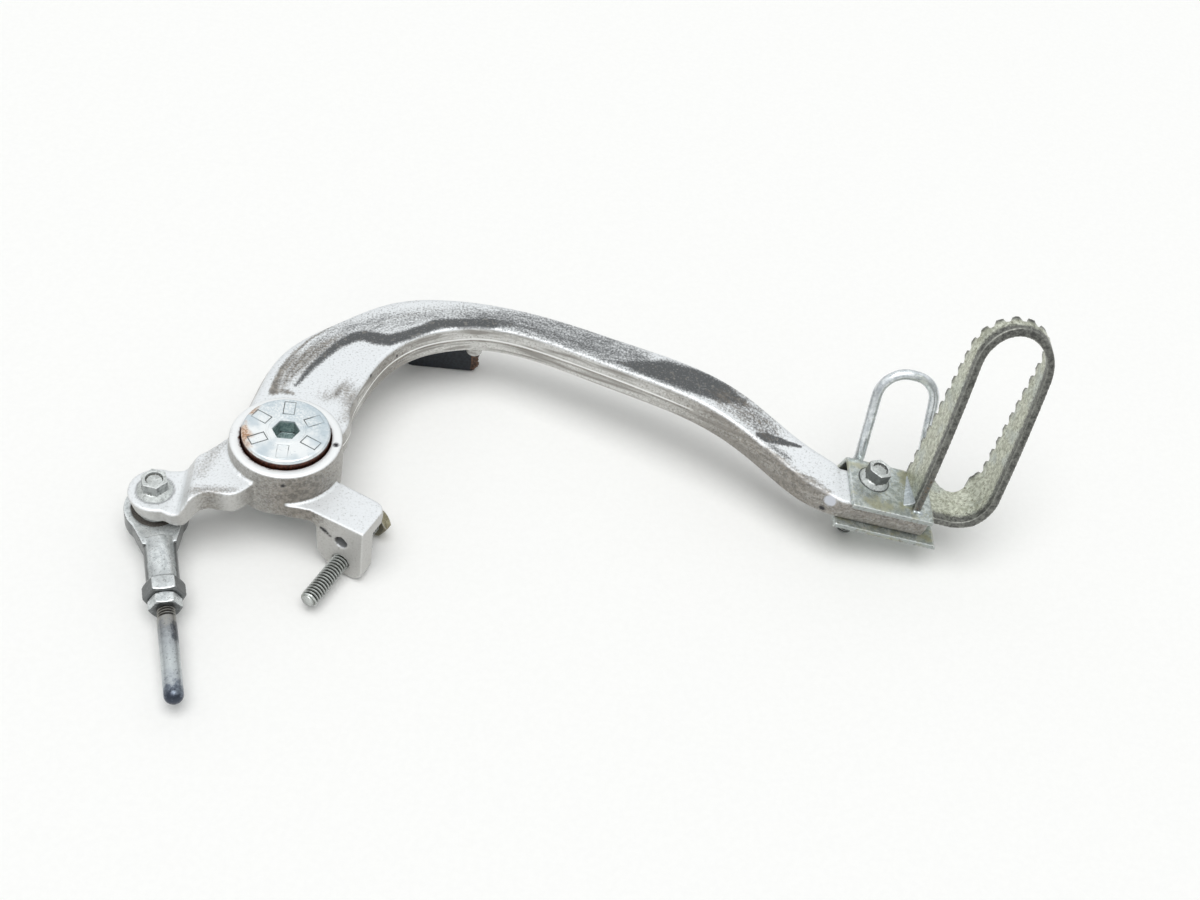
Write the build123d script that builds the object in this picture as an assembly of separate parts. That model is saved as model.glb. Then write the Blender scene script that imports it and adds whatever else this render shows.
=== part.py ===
from build123d import *
import os
from math import atan2, cos, radians, sin, sqrt, tan

# Rear brake pedal of an off-road motorcycle, lying on its inner side.
# Z is the pivot axis and points away from the motorcycle, X points to the
# toe and Y is up on the motorcycle. The origin is on the pivot axis, where
# the pivot bolt's shoulder seats on the frame. All sizes are in millimetres.

# Fits
running_gap = 0.04
press_gap = 0.02
face_gap = 0.05
side_play = 0.3
loose_gap = 0.3

# Cutting tools: how far one runs past a face, and its length right through the part
past = 1.0
right_through = 80.0

# Hexagons of nuts and heads: the angle of the turned-off corners and the face left inside the flats
nut_chamfer = 30.0
nut_face_inset = 0.2

# Flange bolts, as shares of the head's height, of its flats and of the shank
flange_share = 0.3
skirt_share = 0.56
crown_share = 1.5
dish_share = 0.36
dish_depth_share = 0.2
point_share = 0.1

# Pivot boss of the arm
boss_diameter = 38.0
boss_top = 19.0
parting_height = 10.0
boss_draft = 2.0
boss_edge = 0.8

# Pivot bolt
head_diameter = 29.2
head_thickness = 6.4
head_proud = 3.2
head_edge = 0.8
head_recess_gap = 1.6
journal_diameter = 15.0
pivot_thread_diameter = 10.0
pivot_thread_length = 13.0
pivot_thread_point = 1.0
socket_flats = 8.0
socket_depth = 5.5

# Bushes and seals of the pivot
bush_wall = 1.5
bush_length = 4.6
seal_height = 2.5
seal_diameter = 22.0

# Arm: how far its top face lies under the boss, its thickness and its draft
ring_step = 4.0
arm_thickness = 12.0
outer_draft = 25.0
inner_draft = 8.0
lower_draft = 8.0
top_outer_round = 2.5
top_inner_round = 1.2
lower_round = 1.5
parting_round = 0.3

# Arm stations from the boss to the S-bend: x, y, drop of the top face, width
arm_stations = [
    (3.0, 6.0, 0.0, 30.0),
    (2.5, 19.0, 0.0, 35.6),
    (5.0, 31.2, 0.0, 34.8),
    (11.5, 44.9, 0.0, 32.0),
    (19.5, 55.0, 0.0, 27.0),
    (30.0, 65.0, 0.0, 24.0),
    (43.5, 71.6, 0.0, 21.0),
    (58.0, 74.0, 0.0, 17.5),
    (77.0, 72.3, 0.0, 16.0),
    (100.0, 65.1, 0.0, 17.0),
    (139.0, 49.5, 0.0, 18.5),
    (152.0, 43.0, 1.5, 18.0),
    (165.0, 35.5, 5.5, 17.0),
    (179.0, 26.0, 10.0, 17.5),
]
first_heading = 88.0

# Toe: the bolt's place on the bracket's top face, and the toe's dip
toe_x = 205.6
toe_y = 20.3
toe_z = 2.0
toe_dip = 11.3

# Toe bracket, a folded channel over the arm's end
sheet = 2.0
tongue_thickness = 9.0
tongue_width = 18.6
bracket_front = -14.7
bracket_back = 10.0
plate_left = -9.2
plate_right = 21.9
flange_left = -12.0
flange_right = 29.6
fold_round = 2.6

# Toe bolt
toe_bolt_diameter = 6.0
toe_bolt_length = 27.4
toe_bolt_flange = 11.2
toe_bolt_flats = 8.0
toe_bolt_head = 6.2
toe_bolt_turn = 25.0

# Toothed claw, one bent strip
strip = 2.8
claw_left = 13.8
claw_width = 29.3
claw_top = 69.2
claw_foot_round = 13.0
claw_front_base = -11.4
claw_front_middle = (-1.2, 29.0)
claw_front_top = 17.8
claw_back_base = 8.7
claw_back_middle = (15.6, 30.0)
claw_back_top = 23.4
claw_foot_drop = 0.7
claw_scallop_x = 31.5
claw_scallop_back = 3.8
claw_scallop_radius = 6.0
tooth_pitch = 5.3
tooth_depth = 2.0
tooth_gap = 3.1
tooth_floor = 1.5

# Guard wire
wire_diameter = 3.8
wire_left = -3.4
wire_span = 20.8
wire_foot_span = 23.6
wire_foot = 8.0
wire_height = 31.2
wire_lean = 20.0
wire_sway = 7.0
wire_bend = 4.0
wire_top_flat = 1.6

# Rod arm: its edges on the way to the lug, and how much it narrows by its draft
rod_arm_far_root = (-6.0, 11.0)
rod_arm_far_waist = (-20.0, 2.4)
rod_arm_far_ramp = -6.4
rod_arm_near_dip = (-23.5, -23.2)
rod_arm_near_hump = (-16.0, -23.6)
rod_arm_near_rise = (-9.0, -18.0)
rod_arm_near_root = (-4.0, -12.0)
rod_arm_up = 8.0
rod_arm_down = 12.0
rod_arm_shrink = 0.94

# Rod lug at the arm's other end
lug_x = -40.2
lug_y = -18.8
lug_radius = 9.6
lug_top = 8.0
lug_thickness = 6.0
shelf_top = 13.5
shelf_bottom = 5.0
ramp_start = -28.0
ramp_run = 3.5
ramp_round = 1.8
ramp_thickening = 2.0
lug_flat_share = 0.96
lug_shoulder_share = 0.28
lug_swell = 0.5

# Rod bolt and its nut
rod_bolt_diameter = 6.0
rod_bolt_flange = 12.0
rod_bolt_flats = 8.0
rod_bolt_head = 5.6
rod_bolt_turn = -12.0
rod_nut_flats = 10.0
rod_nut_thickness = 3.0
rod_bolt_proud = 0.3

# Ball joint and push rod, measured along the rod from the ball's centre
ball_diameter = 13.6
ball_width = 10.5
liner_wall = 1.2
eye_wall = 2.5
eye_thickness = 7.0
rod_heading = -76.5
rod_droop = 5.4
shank_diameter = 10.8
neck_end = 14.5
neck_overlap = 2.0
collar_start = 28.8
collar_length = 5.6
collar_flats = 12.1
collar_turn = 30.0
lock_nut_flats = 9.6
lock_nut_thickness = 4.2
rod_thread_diameter = 5.4
rod_thread_inside = 14.0
rod_thread_outside = 3.4
push_rod_diameter = 6.3
push_rod_end = 72.8
push_rod_tip_share = 0.45

# Stop lug: its front corner, the direction of its front edge, and its sizes
stop_corner_x = 28.5
stop_corner_y = -29.8
stop_heading = -26.6
stop_top = 6.5
stop_plate_thickness = 5.5
stop_plate_parting = 3.6
stop_plate_depth = 16.0
stop_plate_width = 21.7
stop_corner_round = 4.4
stop_plate_shrink = 0.95
stop_root_near = 9.0
stop_root_drop = 3.0
stop_root_far = 20.0
stop_root_rise = 0.8
tab_width = 18.0
tab_depth = 7.0
tab_bottom = -17.6
tab_bottom_round = 4.0
tab_slant_inset = 6.1
tab_slant_rise = 6.5
tab_side_inset = 0.5
tab_side_rise = 13.0
tab_flare = 0.6
hook_hole_diameter = 4.6
hook_hole_inset = 8.3
hook_hole_height = -2.3
stop_bolt_diameter = 6.0
stop_bolt_inset = 8.2
stop_bolt_height = -12.0
stop_bolt_reach = 20.0
stop_bolt_back = 13.0
stop_bolt_point = 0.8
stop_head_flats = 10.0
stop_head_thickness = 4.0
stop_nut_thickness = 5.0

# Peg and rubber bumper under the arch
peg_x = 60.6
peg_y = 72.6
peg_diameter = 6.0
peg_length = 7.0
peg_root = 1.0
peg_edge = 1.0
bumper_left = 31.0
bumper_right = 63.5
bumper_thickness = 5.4
bumper_gap = 0.15
bumper_bottom = -16.0
bumper_round = 2.4
bumper_slant = 6.0

boss_radius = boss_diameter / 2
arm_top = boss_top - ring_step
head_underside = boss_top + head_proud - head_thickness
recess_floor = head_underside - side_play
bush_radius = journal_diameter / 2 + running_gap + bush_wall
liner_radius = ball_diameter / 2 + liner_wall
eye_radius = liner_radius + eye_wall
toe_plane = Plane(
    origin=(toe_x, toe_y, toe_z),
    x_dir=(cos(radians(toe_dip)), 0, -sin(radians(toe_dip))),
    z_dir=(sin(radians(toe_dip)), 0, cos(radians(toe_dip))),
)
stop_plane = Plane(
    origin=(stop_corner_x, stop_corner_y, 0),
    x_dir=(cos(radians(stop_heading)), sin(radians(stop_heading)), 0),
    z_dir=(0, 0, 1),
)
ball_height = lug_top - lug_thickness - face_gap - ball_width / 2
rod_east = cos(radians(rod_heading))
rod_north = sin(radians(rod_heading))
rod_plane = Plane(
    origin=(lug_x, lug_y, ball_height),
    x_dir=(cos(radians(rod_droop)) * rod_east, cos(radians(rod_droop)) * rod_north,
           -sin(radians(rod_droop))),
    z_dir=(sin(radians(rod_droop)) * rod_east, sin(radians(rod_droop)) * rod_north,
           cos(radians(rod_droop))),
)
lug_place = Pos(lug_x, lug_y, 0)


def upright(radius, bottom, top):
    """A round bar along Z between two heights."""
    bar = Cylinder(radius, top - bottom, align=(Align.CENTER, Align.CENTER, Align.MIN))
    return Pos(0, 0, bottom) * bar


def hex_bar(flats, bottom, top, turn=0.0):
    """A hexagonal bar along Z between two heights, given across its flats."""
    outline = RegularPolygon(flats / 2, 6, major_radius=False, rotation=turn)
    return Pos(0, 0, bottom) * extrude(outline, amount=top - bottom)


def chamfered_hex(flats, bottom, top, turn=0.0):
    """A hexagonal bar whose corners are turned off at both ends, as on a nut."""
    face = flats / 2 - nut_face_inset
    corner = flats / sqrt(3) + nut_face_inset
    lost = (corner - face) * tan(radians(nut_chamfer))
    profile = Polyline(
        (0, bottom), (face, bottom), (corner, bottom + lost), (corner, top - lost), (face, top), (0, top),
        close=True,
    )
    return hex_bar(flats, bottom, top, turn) & revolve(Plane.XZ * make_face(profile), Axis.Z)


def hex_nut(flats, hole, bottom, top, turn=0.0):
    """A nut along Z between two heights, with a plain hole for its screw."""
    return chamfered_hex(flats, bottom, top, turn) - upright(hole, bottom - past, top + past)


def along_x(solid):
    """Turn a solid that was made along Z so that it points along X."""
    return Rot(0, 90, 0) * solid


def flange_bolt(diameter, length, flange, flats, head, turn):
    """A flange bolt with a dished hex head, its seat at height 0."""
    skirt = Cone(flange / 2, flats * skirt_share, head * flange_share,
                 align=(Align.CENTER, Align.CENTER, Align.MIN))
    crown = hex_bar(flats, 0, head, turn) & Pos(0, 0, head) * Sphere(head * crown_share)
    crown -= upright(flats * dish_share, head - head * dish_depth_share, head + past)
    shank = upright(diameter / 2, -length, 0)
    shank = chamfer(shank.edges().group_by(Axis.Z)[0], diameter * point_share)
    return skirt + crown + shank


def forged_section(plane, width, thickness):
    """The arm's six-sided section, with a parting edge at both flanks."""
    top = thickness / 2
    upper = (arm_top - parting_height) * thickness / arm_thickness
    lower = thickness - upper
    outer = width / 2
    outer_top = outer - upper * tan(radians(outer_draft))
    inner_top = -outer + upper * tan(radians(inner_draft))
    low = outer - lower * tan(radians(lower_draft))
    corners = [
        (inner_top, top),
        (outer_top, top),
        (outer, top - upper),
        (low, -top),
        (-low, -top),
        (-outer, top - upper),
    ]
    rounds = [top_inner_round, top_outer_round, parting_round, lower_round, lower_round, parting_round]
    outline = FilletPolyline(*corners, radius=rounds, close=True)
    return plane * make_face(outline)


def arm_arch():
    """The arched arm, lofted through its stations to the toe's tongue."""
    tongue_middle = (bracket_front + bracket_back - sheet) / 2
    root = toe_plane * Pos(flange_left, tongue_middle, -sheet - face_gap - tongue_thickness / 2)
    root_plane = Plane(root)
    tongue_plane = Plane(origin=root_plane.origin, x_dir=toe_plane.y_dir, z_dir=toe_plane.x_dir)
    places = [(x, y) for x, y, drop, width in arm_stations]
    places.append((root_plane.origin.X, root_plane.origin.Y))
    sections = []
    for index, (x, y, drop, width) in enumerate(arm_stations):
        before = places[max(index - 1, 0)]
        after = places[index + 1]
        heading = radians(first_heading)
        if index > 0:
            heading = atan2(after[1] - before[1], after[0] - before[0])
        plane = Plane(
            origin=(x, y, arm_top - drop - arm_thickness / 2),
            x_dir=(-sin(heading), cos(heading), 0),
            z_dir=(cos(heading), sin(heading), 0),
        )
        sections.append(forged_section(plane, width, arm_thickness))
    tongue_face = forged_section(tongue_plane, tongue_width, tongue_thickness)
    sections.append(tongue_face)
    arch = loft(sections)
    tongue = extrude(tongue_face, amount=plate_right - flange_left, dir=toe_plane.x_dir)
    return arch + tongue


def drafted(outline, height, up, down, shrink):
    """A forging of one outline that narrows above and below its parting plane."""
    middle = outline.center()
    small = Pos(middle.X, middle.Y, 0) * scale(Pos(-middle.X, -middle.Y, 0) * outline, shrink)
    waist = Pos(0, 0, height) * outline
    upper = loft([waist, Pos(0, 0, height + up) * small], ruled=True)
    lower = loft([Pos(0, 0, height - down) * small, waist], ruled=True)
    return upper + lower


def rod_arm():
    """The wavy arm and the lower, round lug that carries the push rod."""
    far = lug_y + lug_radius * lug_flat_share
    near = lug_y - lug_radius * lug_flat_share
    shoulder = lug_x + lug_radius * lug_shoulder_share
    ramp_end = ramp_start - ramp_run
    far_edge = Spline(rod_arm_far_root, rod_arm_far_waist, (ramp_start, rod_arm_far_ramp), (shoulder, far))
    round_end = ThreePointArc((shoulder, far), (lug_x - lug_radius, lug_y), (shoulder, near))
    near_edge = Spline((shoulder, near), (ramp_start - ramp_thickening, near - lug_swell), rod_arm_near_dip,
                       rod_arm_near_hump, rod_arm_near_rise, rod_arm_near_root)
    root = Line(rod_arm_near_root, rod_arm_far_root)
    outline = make_face(Wire([far_edge, round_end, near_edge, root]))
    block = drafted(outline, parting_height, rod_arm_up, rod_arm_down, rod_arm_shrink)
    lug_bottom = lug_top - lug_thickness
    end = lug_x - 2 * lug_radius
    side = Polyline(
        (0, shelf_top), (ramp_start, shelf_top), (ramp_end, lug_top), (end, lug_top),
        (end, lug_bottom), (ramp_end + ramp_thickening, lug_bottom),
        (ramp_start + ramp_thickening, shelf_bottom), (0, shelf_bottom),
        close=True,
    )
    side = make_face(side)
    bend_end = ramp_start + ramp_thickening + past
    bends = side.vertices().filter_by_position(Axis.X, ramp_end - past, bend_end)
    side = fillet(bends, ramp_round)
    band = extrude(Plane.XZ * side, amount=3 * lug_radius, both=True)
    return block & Pos(0, lug_y, 0) * band


def stop_lug():
    """The plate beside the boss and the tab below it, which hold the stop bolt."""
    boss_centre = stop_plane.to_local_coords(Vector(0, 0, 0))
    plate = Polyline(
        (0, 0), (-stop_plate_width, 0), (boss_centre.X + stop_root_near, -stop_root_drop),
        (boss_centre.X, boss_centre.Y), (boss_centre.X + stop_root_far, stop_plate_depth + stop_root_rise),
        (0, stop_plate_depth),
        close=True,
    )
    plate = make_face(plate)
    corner = plate.vertices().sort_by_distance((0, stop_plate_depth, 0))[0]
    plate = fillet(corner, stop_corner_round)
    below = stop_plate_parting - stop_top + stop_plate_thickness
    plate = drafted(plate, stop_plate_parting, stop_top - stop_plate_parting, below, stop_plate_shrink)
    front = Polyline(
        (0, stop_top), (0, tab_bottom), (tab_slant_inset - tab_width, tab_bottom),
        (tab_side_inset - tab_width, tab_bottom + tab_slant_rise), (-tab_width, tab_bottom + tab_side_rise),
        (-tab_width - tab_flare, stop_top),
        close=True,
    )
    front = make_face(front)
    slant_top = tab_bottom + tab_slant_rise
    feet = front.vertices().filter_by_position(Axis.Y, tab_bottom - past, slant_top + past)
    front = fillet(feet, tab_bottom_round)
    tab = extrude(Plane.XZ * front, amount=-tab_depth)
    return stop_plane * (plate + tab)


def pedal_arm():
    """The forged arm with its bores."""
    taper = tan(radians(boss_draft))
    profile = Polyline(
        (0, side_play), (boss_radius - (parting_height - side_play) * taper, side_play),
        (boss_radius, parting_height), (boss_radius - (boss_top - parting_height) * taper, boss_top),
        (0, boss_top),
        close=True,
    )
    boss = revolve(Plane.XZ * make_face(profile), Axis.Z)
    boss = fillet(boss.edges().group_by(Axis.Z)[-1], boss_edge)
    peg_top = arm_top - arm_thickness + peg_root
    peg = Pos(peg_x, peg_y, 0) * upright(peg_diameter / 2, peg_top - peg_length, peg_top)
    peg = fillet(peg.edges().group_by(Axis.Z)[0], peg_edge)
    arm = boss + arm_arch() + rod_arm() + stop_lug() + peg
    through = upright(bush_radius + press_gap, side_play - past, recess_floor)
    recess = upright((head_diameter + head_recess_gap) / 2, recess_floor, boss_top + past)
    upper_pocket = upright(seal_diameter / 2 + press_gap, recess_floor - seal_height, recess_floor + past)
    lower_pocket = upright(seal_diameter / 2 + press_gap, side_play - past, side_play + seal_height)
    arm -= [through, recess, upper_pocket, lower_pocket]
    lug_bottom = lug_top - lug_thickness
    arm -= lug_place * upright(rod_bolt_diameter / 2 + press_gap, lug_bottom - past, lug_top + past)
    hook = Cylinder(hook_hole_diameter / 2, right_through)
    hook = Pos(-hook_hole_inset, 0, hook_hole_height) * Rot(90, 0, 0) * hook
    tapped = Cylinder(stop_bolt_diameter / 2 + press_gap, right_through)
    tapped = Pos(-stop_bolt_inset, 0, stop_bolt_height) * Rot(90, 0, 0) * tapped
    arm -= [stop_plane * hook, stop_plane * tapped]
    arm -= toe_plane * upright(toe_bolt_diameter / 2 + loose_gap, -toe_bolt_length, past)
    return arm


def pivot_bolt():
    """The flanged shoulder bolt that the pedal turns on."""
    head_top = head_underside + head_thickness
    head = upright(head_diameter / 2, head_underside, head_top)
    head = fillet(head.edges().group_by(Axis.Z)[-1], head_edge)
    journal = upright(journal_diameter / 2, 0, head_underside)
    thread = upright(pivot_thread_diameter / 2, -pivot_thread_length, 0)
    thread = chamfer(thread.edges().group_by(Axis.Z)[0], pivot_thread_point)
    socket = hex_bar(socket_flats, head_top - socket_depth, head_top + past)
    return head + journal + thread - socket


def ring(inner, outer, bottom, top):
    """A plain ring round Z."""
    return upright(outer, bottom, top) - upright(inner, bottom - past, top + past)


def rod_end():
    """The push rod's eye with its tapered neck, round shank and hex collar."""
    half = shank_diameter / 2
    eye = Cylinder(eye_radius, eye_thickness)
    neck = Polyline((0, eye_radius), (neck_end, half), (neck_end, -half), (0, -eye_radius), close=True)
    neck = Pos(0, 0, -eye_thickness / 2) * extrude(make_face(neck), amount=eye_thickness)
    shank = along_x(upright(half, neck_end - neck_overlap, collar_start))
    collar = along_x(chamfered_hex(collar_flats, collar_start, collar_start + collar_length, collar_turn))
    body = eye + neck + shank + collar
    body -= Cylinder(liner_radius + press_gap, eye_thickness + past)
    thread = upright(rod_thread_diameter / 2 + press_gap,
                     collar_start + collar_length - rod_thread_inside - face_gap, push_rod_end)
    return body - along_x(thread)


def push_rod():
    """The rod with its thread and its round end."""
    nut_end = collar_start + collar_length + lock_nut_thickness
    thread_end = nut_end + rod_thread_outside
    thread = upright(rod_thread_diameter / 2, collar_start + collar_length - rod_thread_inside, thread_end)
    plain = upright(push_rod_diameter / 2, thread_end, push_rod_end)
    plain = fillet(plain.edges().group_by(Axis.Z)[-1], push_rod_diameter * push_rod_tip_share)
    return thread + plain


def stop_bolt():
    """The hex bolt through the stop lug, along the lug's depth."""
    seat = tab_depth + stop_bolt_back
    shank = upright(stop_bolt_diameter / 2, -seat - stop_bolt_reach, 0)
    shank = chamfer(shank.edges().group_by(Axis.Z)[0], stop_bolt_point)
    head = chamfered_hex(stop_head_flats, 0, stop_head_thickness)
    return Pos(-stop_bolt_inset, seat, stop_bolt_height) * Rot(-90, 0, 0) * (shank + head)


def stop_nut():
    """The nut that locks the stop bolt against the tab's back."""
    nut = hex_nut(stop_head_flats, stop_bolt_diameter / 2 + press_gap, 0, stop_nut_thickness)
    return Pos(-stop_bolt_inset, tab_depth + face_gap, stop_bolt_height) * Rot(-90, 0, 0) * nut


def toe_bracket():
    """The channel folded over the arm's end, open at its front."""
    bottom = -2 * sheet - tongue_thickness - 2 * face_gap
    path = FilletPolyline(
        (bracket_front, -sheet / 2), (bracket_back - sheet / 2, -sheet / 2),
        (bracket_back - sheet / 2, bottom + sheet / 2), (bracket_front, bottom + sheet / 2),
        radius=fold_round - sheet / 2,
    )
    fold = Plane.YZ * trace(path, line_width=sheet)
    channel = extrude(Pos(flange_left, 0, 0) * fold, amount=flange_right - flange_left)
    side = Polyline(
        (plate_left, past), (plate_left, -sheet), (flange_left, bottom - past),
        (flange_right, bottom - past), (plate_right, -sheet - strip - claw_foot_drop), (plate_right, past),
        close=True,
    )
    channel &= extrude(Plane.XZ * make_face(side), amount=right_through, both=True)
    return channel - upright(toe_bolt_diameter / 2 + press_gap, bottom - past, past)


def claw_loop():
    """The strip's loop as seen from the front: two legs, a round top and a foot."""
    reach = claw_width - strip
    left = claw_left + strip / 2
    right = left + reach
    centre = claw_top - claw_width / 2
    foot = -strip / 2 - claw_foot_drop
    near_leg = Line((left, face_gap), (left, centre))
    top = ThreePointArc((left, centre), (left + reach / 2, centre + reach / 2), (right, centre))
    far_leg = Line((right, centre), (right, foot + claw_foot_round))
    turn = ThreePointArc(
        (right, foot + claw_foot_round),
        (right - claw_foot_round * (1 - cos(radians(45))), foot + claw_foot_round * (1 - cos(radians(45)))),
        (right - claw_foot_round, foot),
    )
    base = Line((right - claw_foot_round, foot), (plate_right + face_gap, foot))
    return Wire([near_leg, top, far_leg, turn, base])


def claw_back_edge(height):
    """How far back the toothed edge lies at a height, on a parabola through its three points."""
    middle_back, middle_height = claw_back_middle
    share = height / claw_top
    middle_share = middle_height / claw_top
    bow = middle_back - claw_back_base - (claw_back_top - claw_back_base) * middle_share
    bow = bow / (middle_share * (1 - middle_share))
    return claw_back_base + (claw_back_top - claw_back_base) * share + bow * share * (1 - share)


def toe_claw():
    """The toothed claw: the loop's band, cut to its leaning outline, with notches between its teeth."""
    route = claw_loop()
    band = extrude(Plane.XZ * trace(route, line_width=strip), amount=right_through, both=True)
    low = -strip - claw_foot_drop - past
    high = claw_top + past
    back_middle = (claw_back_edge(high / 2), high / 2)
    front_edge = ThreePointArc((claw_front_base, 0), claw_front_middle, (claw_front_top, high))
    back_edge = ThreePointArc((claw_back_base, 0), back_middle, (claw_back_edge(high), high))
    outline = Wire([
        front_edge,
        Line((claw_front_top, high), (claw_back_edge(high), high)),
        back_edge,
        Line((claw_back_base, 0), (claw_back_base, low)),
        Line((claw_back_base, low), (claw_front_base, low)),
        Line((claw_front_base, low), (claw_front_base, 0)),
    ])
    lean = extrude(Plane.YZ * make_face(outline), amount=right_through, both=True)
    claw = band & lean
    scallop = upright(claw_scallop_radius, low, claw_foot_round)
    claw -= Pos(claw_scallop_x, claw_scallop_back + claw_scallop_radius, 0) * scallop
    legs = route.length - (plate_right - claw_left)
    notches = []
    for count in range(1, int(legs / tooth_pitch) - 1):
        place = route.position_at(count * tooth_pitch, position_mode=PositionMode.LENGTH)
        along = route.tangent_at(count * tooth_pitch, position_mode=PositionMode.LENGTH)
        across = Vector(along.Y, 0, -along.X)
        notch = Polyline(
            (-tooth_gap / 2, past), (-tooth_gap / 2, 0), (-tooth_floor / 2, -tooth_depth),
            (tooth_floor / 2, -tooth_depth), (tooth_gap / 2, 0), (tooth_gap / 2, past),
            close=True,
        )
        tool = extrude(make_face(notch), amount=2 * strip, both=True)
        seat = Plane(origin=(place.X, claw_back_edge(place.Y), place.Y), x_dir=(along.X, 0, along.Y),
                     z_dir=across)
        if seat.y_dir.Y < 0:
            seat = Plane(origin=seat.origin, x_dir=seat.x_dir, z_dir=-seat.z_dir)
        notches.append(seat * tool)
    return claw - notches


def guard_wire():
    """The bent wire whose two feet are welded to the bracket's back wall."""
    back = bracket_back + wire_diameter / 2 + face_gap
    bend_height = -sheet
    lean = (wire_height - bend_height) * tan(radians(wire_lean))
    sway = (wire_height - bend_height) * tan(radians(wire_sway))
    foot_right = wire_left + wire_foot_span
    top_left = wire_left - sway
    top_right = top_left + wire_span
    top_round = (wire_span - wire_top_flat) / 2
    route = FilletPolyline(
        (wire_left, back, bend_height - wire_foot), (wire_left, back, bend_height),
        (top_left, back + lean, wire_height), (top_right, back + lean, wire_height),
        (foot_right, back, bend_height), (foot_right, back, bend_height - wire_foot),
        radius=[wire_bend, top_round, top_round, wire_bend],
    )
    section = Plane(origin=route @ 0, z_dir=route % 0) * Circle(wire_diameter / 2)
    return sweep(section, path=route)


def rubber_bumper():
    """The rubber block under the arch, with its rising end."""
    top = arm_top - arm_thickness - bumper_gap
    side = Polyline((bumper_left, top), (bumper_right, top), (bumper_right, bumper_bottom),
                    (bumper_left + bumper_slant, bumper_bottom), (bumper_left, bumper_bottom + bumper_slant),
                    close=True)
    side = make_face(side)
    slant_top = bumper_bottom + bumper_slant
    low = side.vertices().filter_by_position(Axis.Y, bumper_bottom - past, slant_top + past)
    side = fillet(low, bumper_round)
    front = peg_y + peg_diameter / 2 + loose_gap
    return extrude(Plane.XZ * Pos(0, 0, -front - bumper_thickness) * side, amount=bumper_thickness)


seal_bore = journal_diameter / 2 + loose_gap
seal_radius = seal_diameter / 2
bush_bore = journal_diameter / 2 + running_gap
upper_seal_floor = recess_floor - seal_height
lower_seal_top = side_play + seal_height
ball = Sphere(ball_diameter / 2) & Box(ball_diameter, ball_diameter, ball_width)
ball -= Cylinder(rod_bolt_diameter / 2 + running_gap, ball_width + past)
liner = Cylinder(liner_radius, eye_thickness - 2 * loose_gap) - Sphere(ball_diameter / 2 + running_gap)
nut_top = ball_height - ball_width / 2 - face_gap
nut_hole = rod_bolt_diameter / 2 + press_gap
rod_nut = hex_nut(rod_nut_flats, nut_hole, nut_top - rod_nut_thickness, nut_top)
lock_seat = collar_start + collar_length + face_gap
lock_top = lock_seat + lock_nut_thickness - face_gap
lock_nut = hex_nut(lock_nut_flats, rod_thread_diameter / 2 + press_gap, lock_seat, lock_top, collar_turn)
rod_bolt_length = lug_top - nut_top + rod_nut_thickness + rod_bolt_proud

parts = {
    "pedal_arm": pedal_arm(),
    "pivot_bolt": pivot_bolt(),
    "upper_bush": ring(bush_bore, bush_radius, upper_seal_floor - bush_length, upper_seal_floor),
    "lower_bush": ring(bush_bore, bush_radius, lower_seal_top, lower_seal_top + bush_length),
    "upper_seal": ring(seal_bore, seal_radius, upper_seal_floor, recess_floor),
    "lower_seal": ring(seal_bore, seal_radius, side_play, lower_seal_top),
    "rod_bolt": Pos(lug_x, lug_y, lug_top) * flange_bolt(
        rod_bolt_diameter, rod_bolt_length, rod_bolt_flange, rod_bolt_flats, rod_bolt_head, rod_bolt_turn),
    "rod_nut": lug_place * rod_nut,
    "eye_ball": Pos(lug_x, lug_y, ball_height) * ball,
    "eye_liner": rod_plane * liner,
    "rod_end": rod_plane * rod_end(),
    "lock_nut": rod_plane * along_x(lock_nut),
    "push_rod": rod_plane * along_x(push_rod()),
    "stop_bolt": stop_plane * stop_bolt(),
    "stop_nut": stop_plane * stop_nut(),
    "toe_bracket": toe_plane * toe_bracket(),
    "toe_claw": toe_plane * toe_claw(),
    "guard_wire": toe_plane * guard_wire(),
    "toe_bolt": toe_plane * flange_bolt(
        toe_bolt_diameter, toe_bolt_length, toe_bolt_flange, toe_bolt_flats, toe_bolt_head, toe_bolt_turn),
    "rubber_bumper": rubber_bumper(),
}

os.makedirs("parts", exist_ok=True)
for name, piece in parts.items():
    export_step(piece, f"parts/{name}.step")
    print(name, round(piece.volume, 1), len(piece.solids()))
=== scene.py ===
# %% [markdown]
# # A worn rear brake pedal
# The pedal lies on its inner side on a pale sheet. Its solids come from CAD, in metres and in one
# shared frame, so no piece has to be fitted by eye. This lesson gives the solids the skins, the wear
# and the small details that a photograph of the real pedal shows.

from math import cos, pi, radians, sin

import bmesh
import bpy
import numpy as np
from mathutils import Matrix, Vector, noise


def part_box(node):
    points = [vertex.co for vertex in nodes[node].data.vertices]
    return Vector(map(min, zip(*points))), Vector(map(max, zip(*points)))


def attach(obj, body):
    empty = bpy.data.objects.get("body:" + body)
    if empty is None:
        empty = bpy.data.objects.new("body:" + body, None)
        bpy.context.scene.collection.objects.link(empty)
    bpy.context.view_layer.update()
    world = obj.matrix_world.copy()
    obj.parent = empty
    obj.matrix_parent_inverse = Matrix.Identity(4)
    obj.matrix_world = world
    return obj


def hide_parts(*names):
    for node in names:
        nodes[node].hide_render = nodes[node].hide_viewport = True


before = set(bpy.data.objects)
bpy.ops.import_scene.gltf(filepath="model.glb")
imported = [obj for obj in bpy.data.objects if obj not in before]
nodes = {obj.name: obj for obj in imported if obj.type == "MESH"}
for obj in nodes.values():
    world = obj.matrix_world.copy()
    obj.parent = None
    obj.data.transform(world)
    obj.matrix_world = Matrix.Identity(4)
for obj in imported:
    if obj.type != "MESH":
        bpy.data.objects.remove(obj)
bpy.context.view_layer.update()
MM = 0.001
print("solids:", len(nodes))

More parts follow.
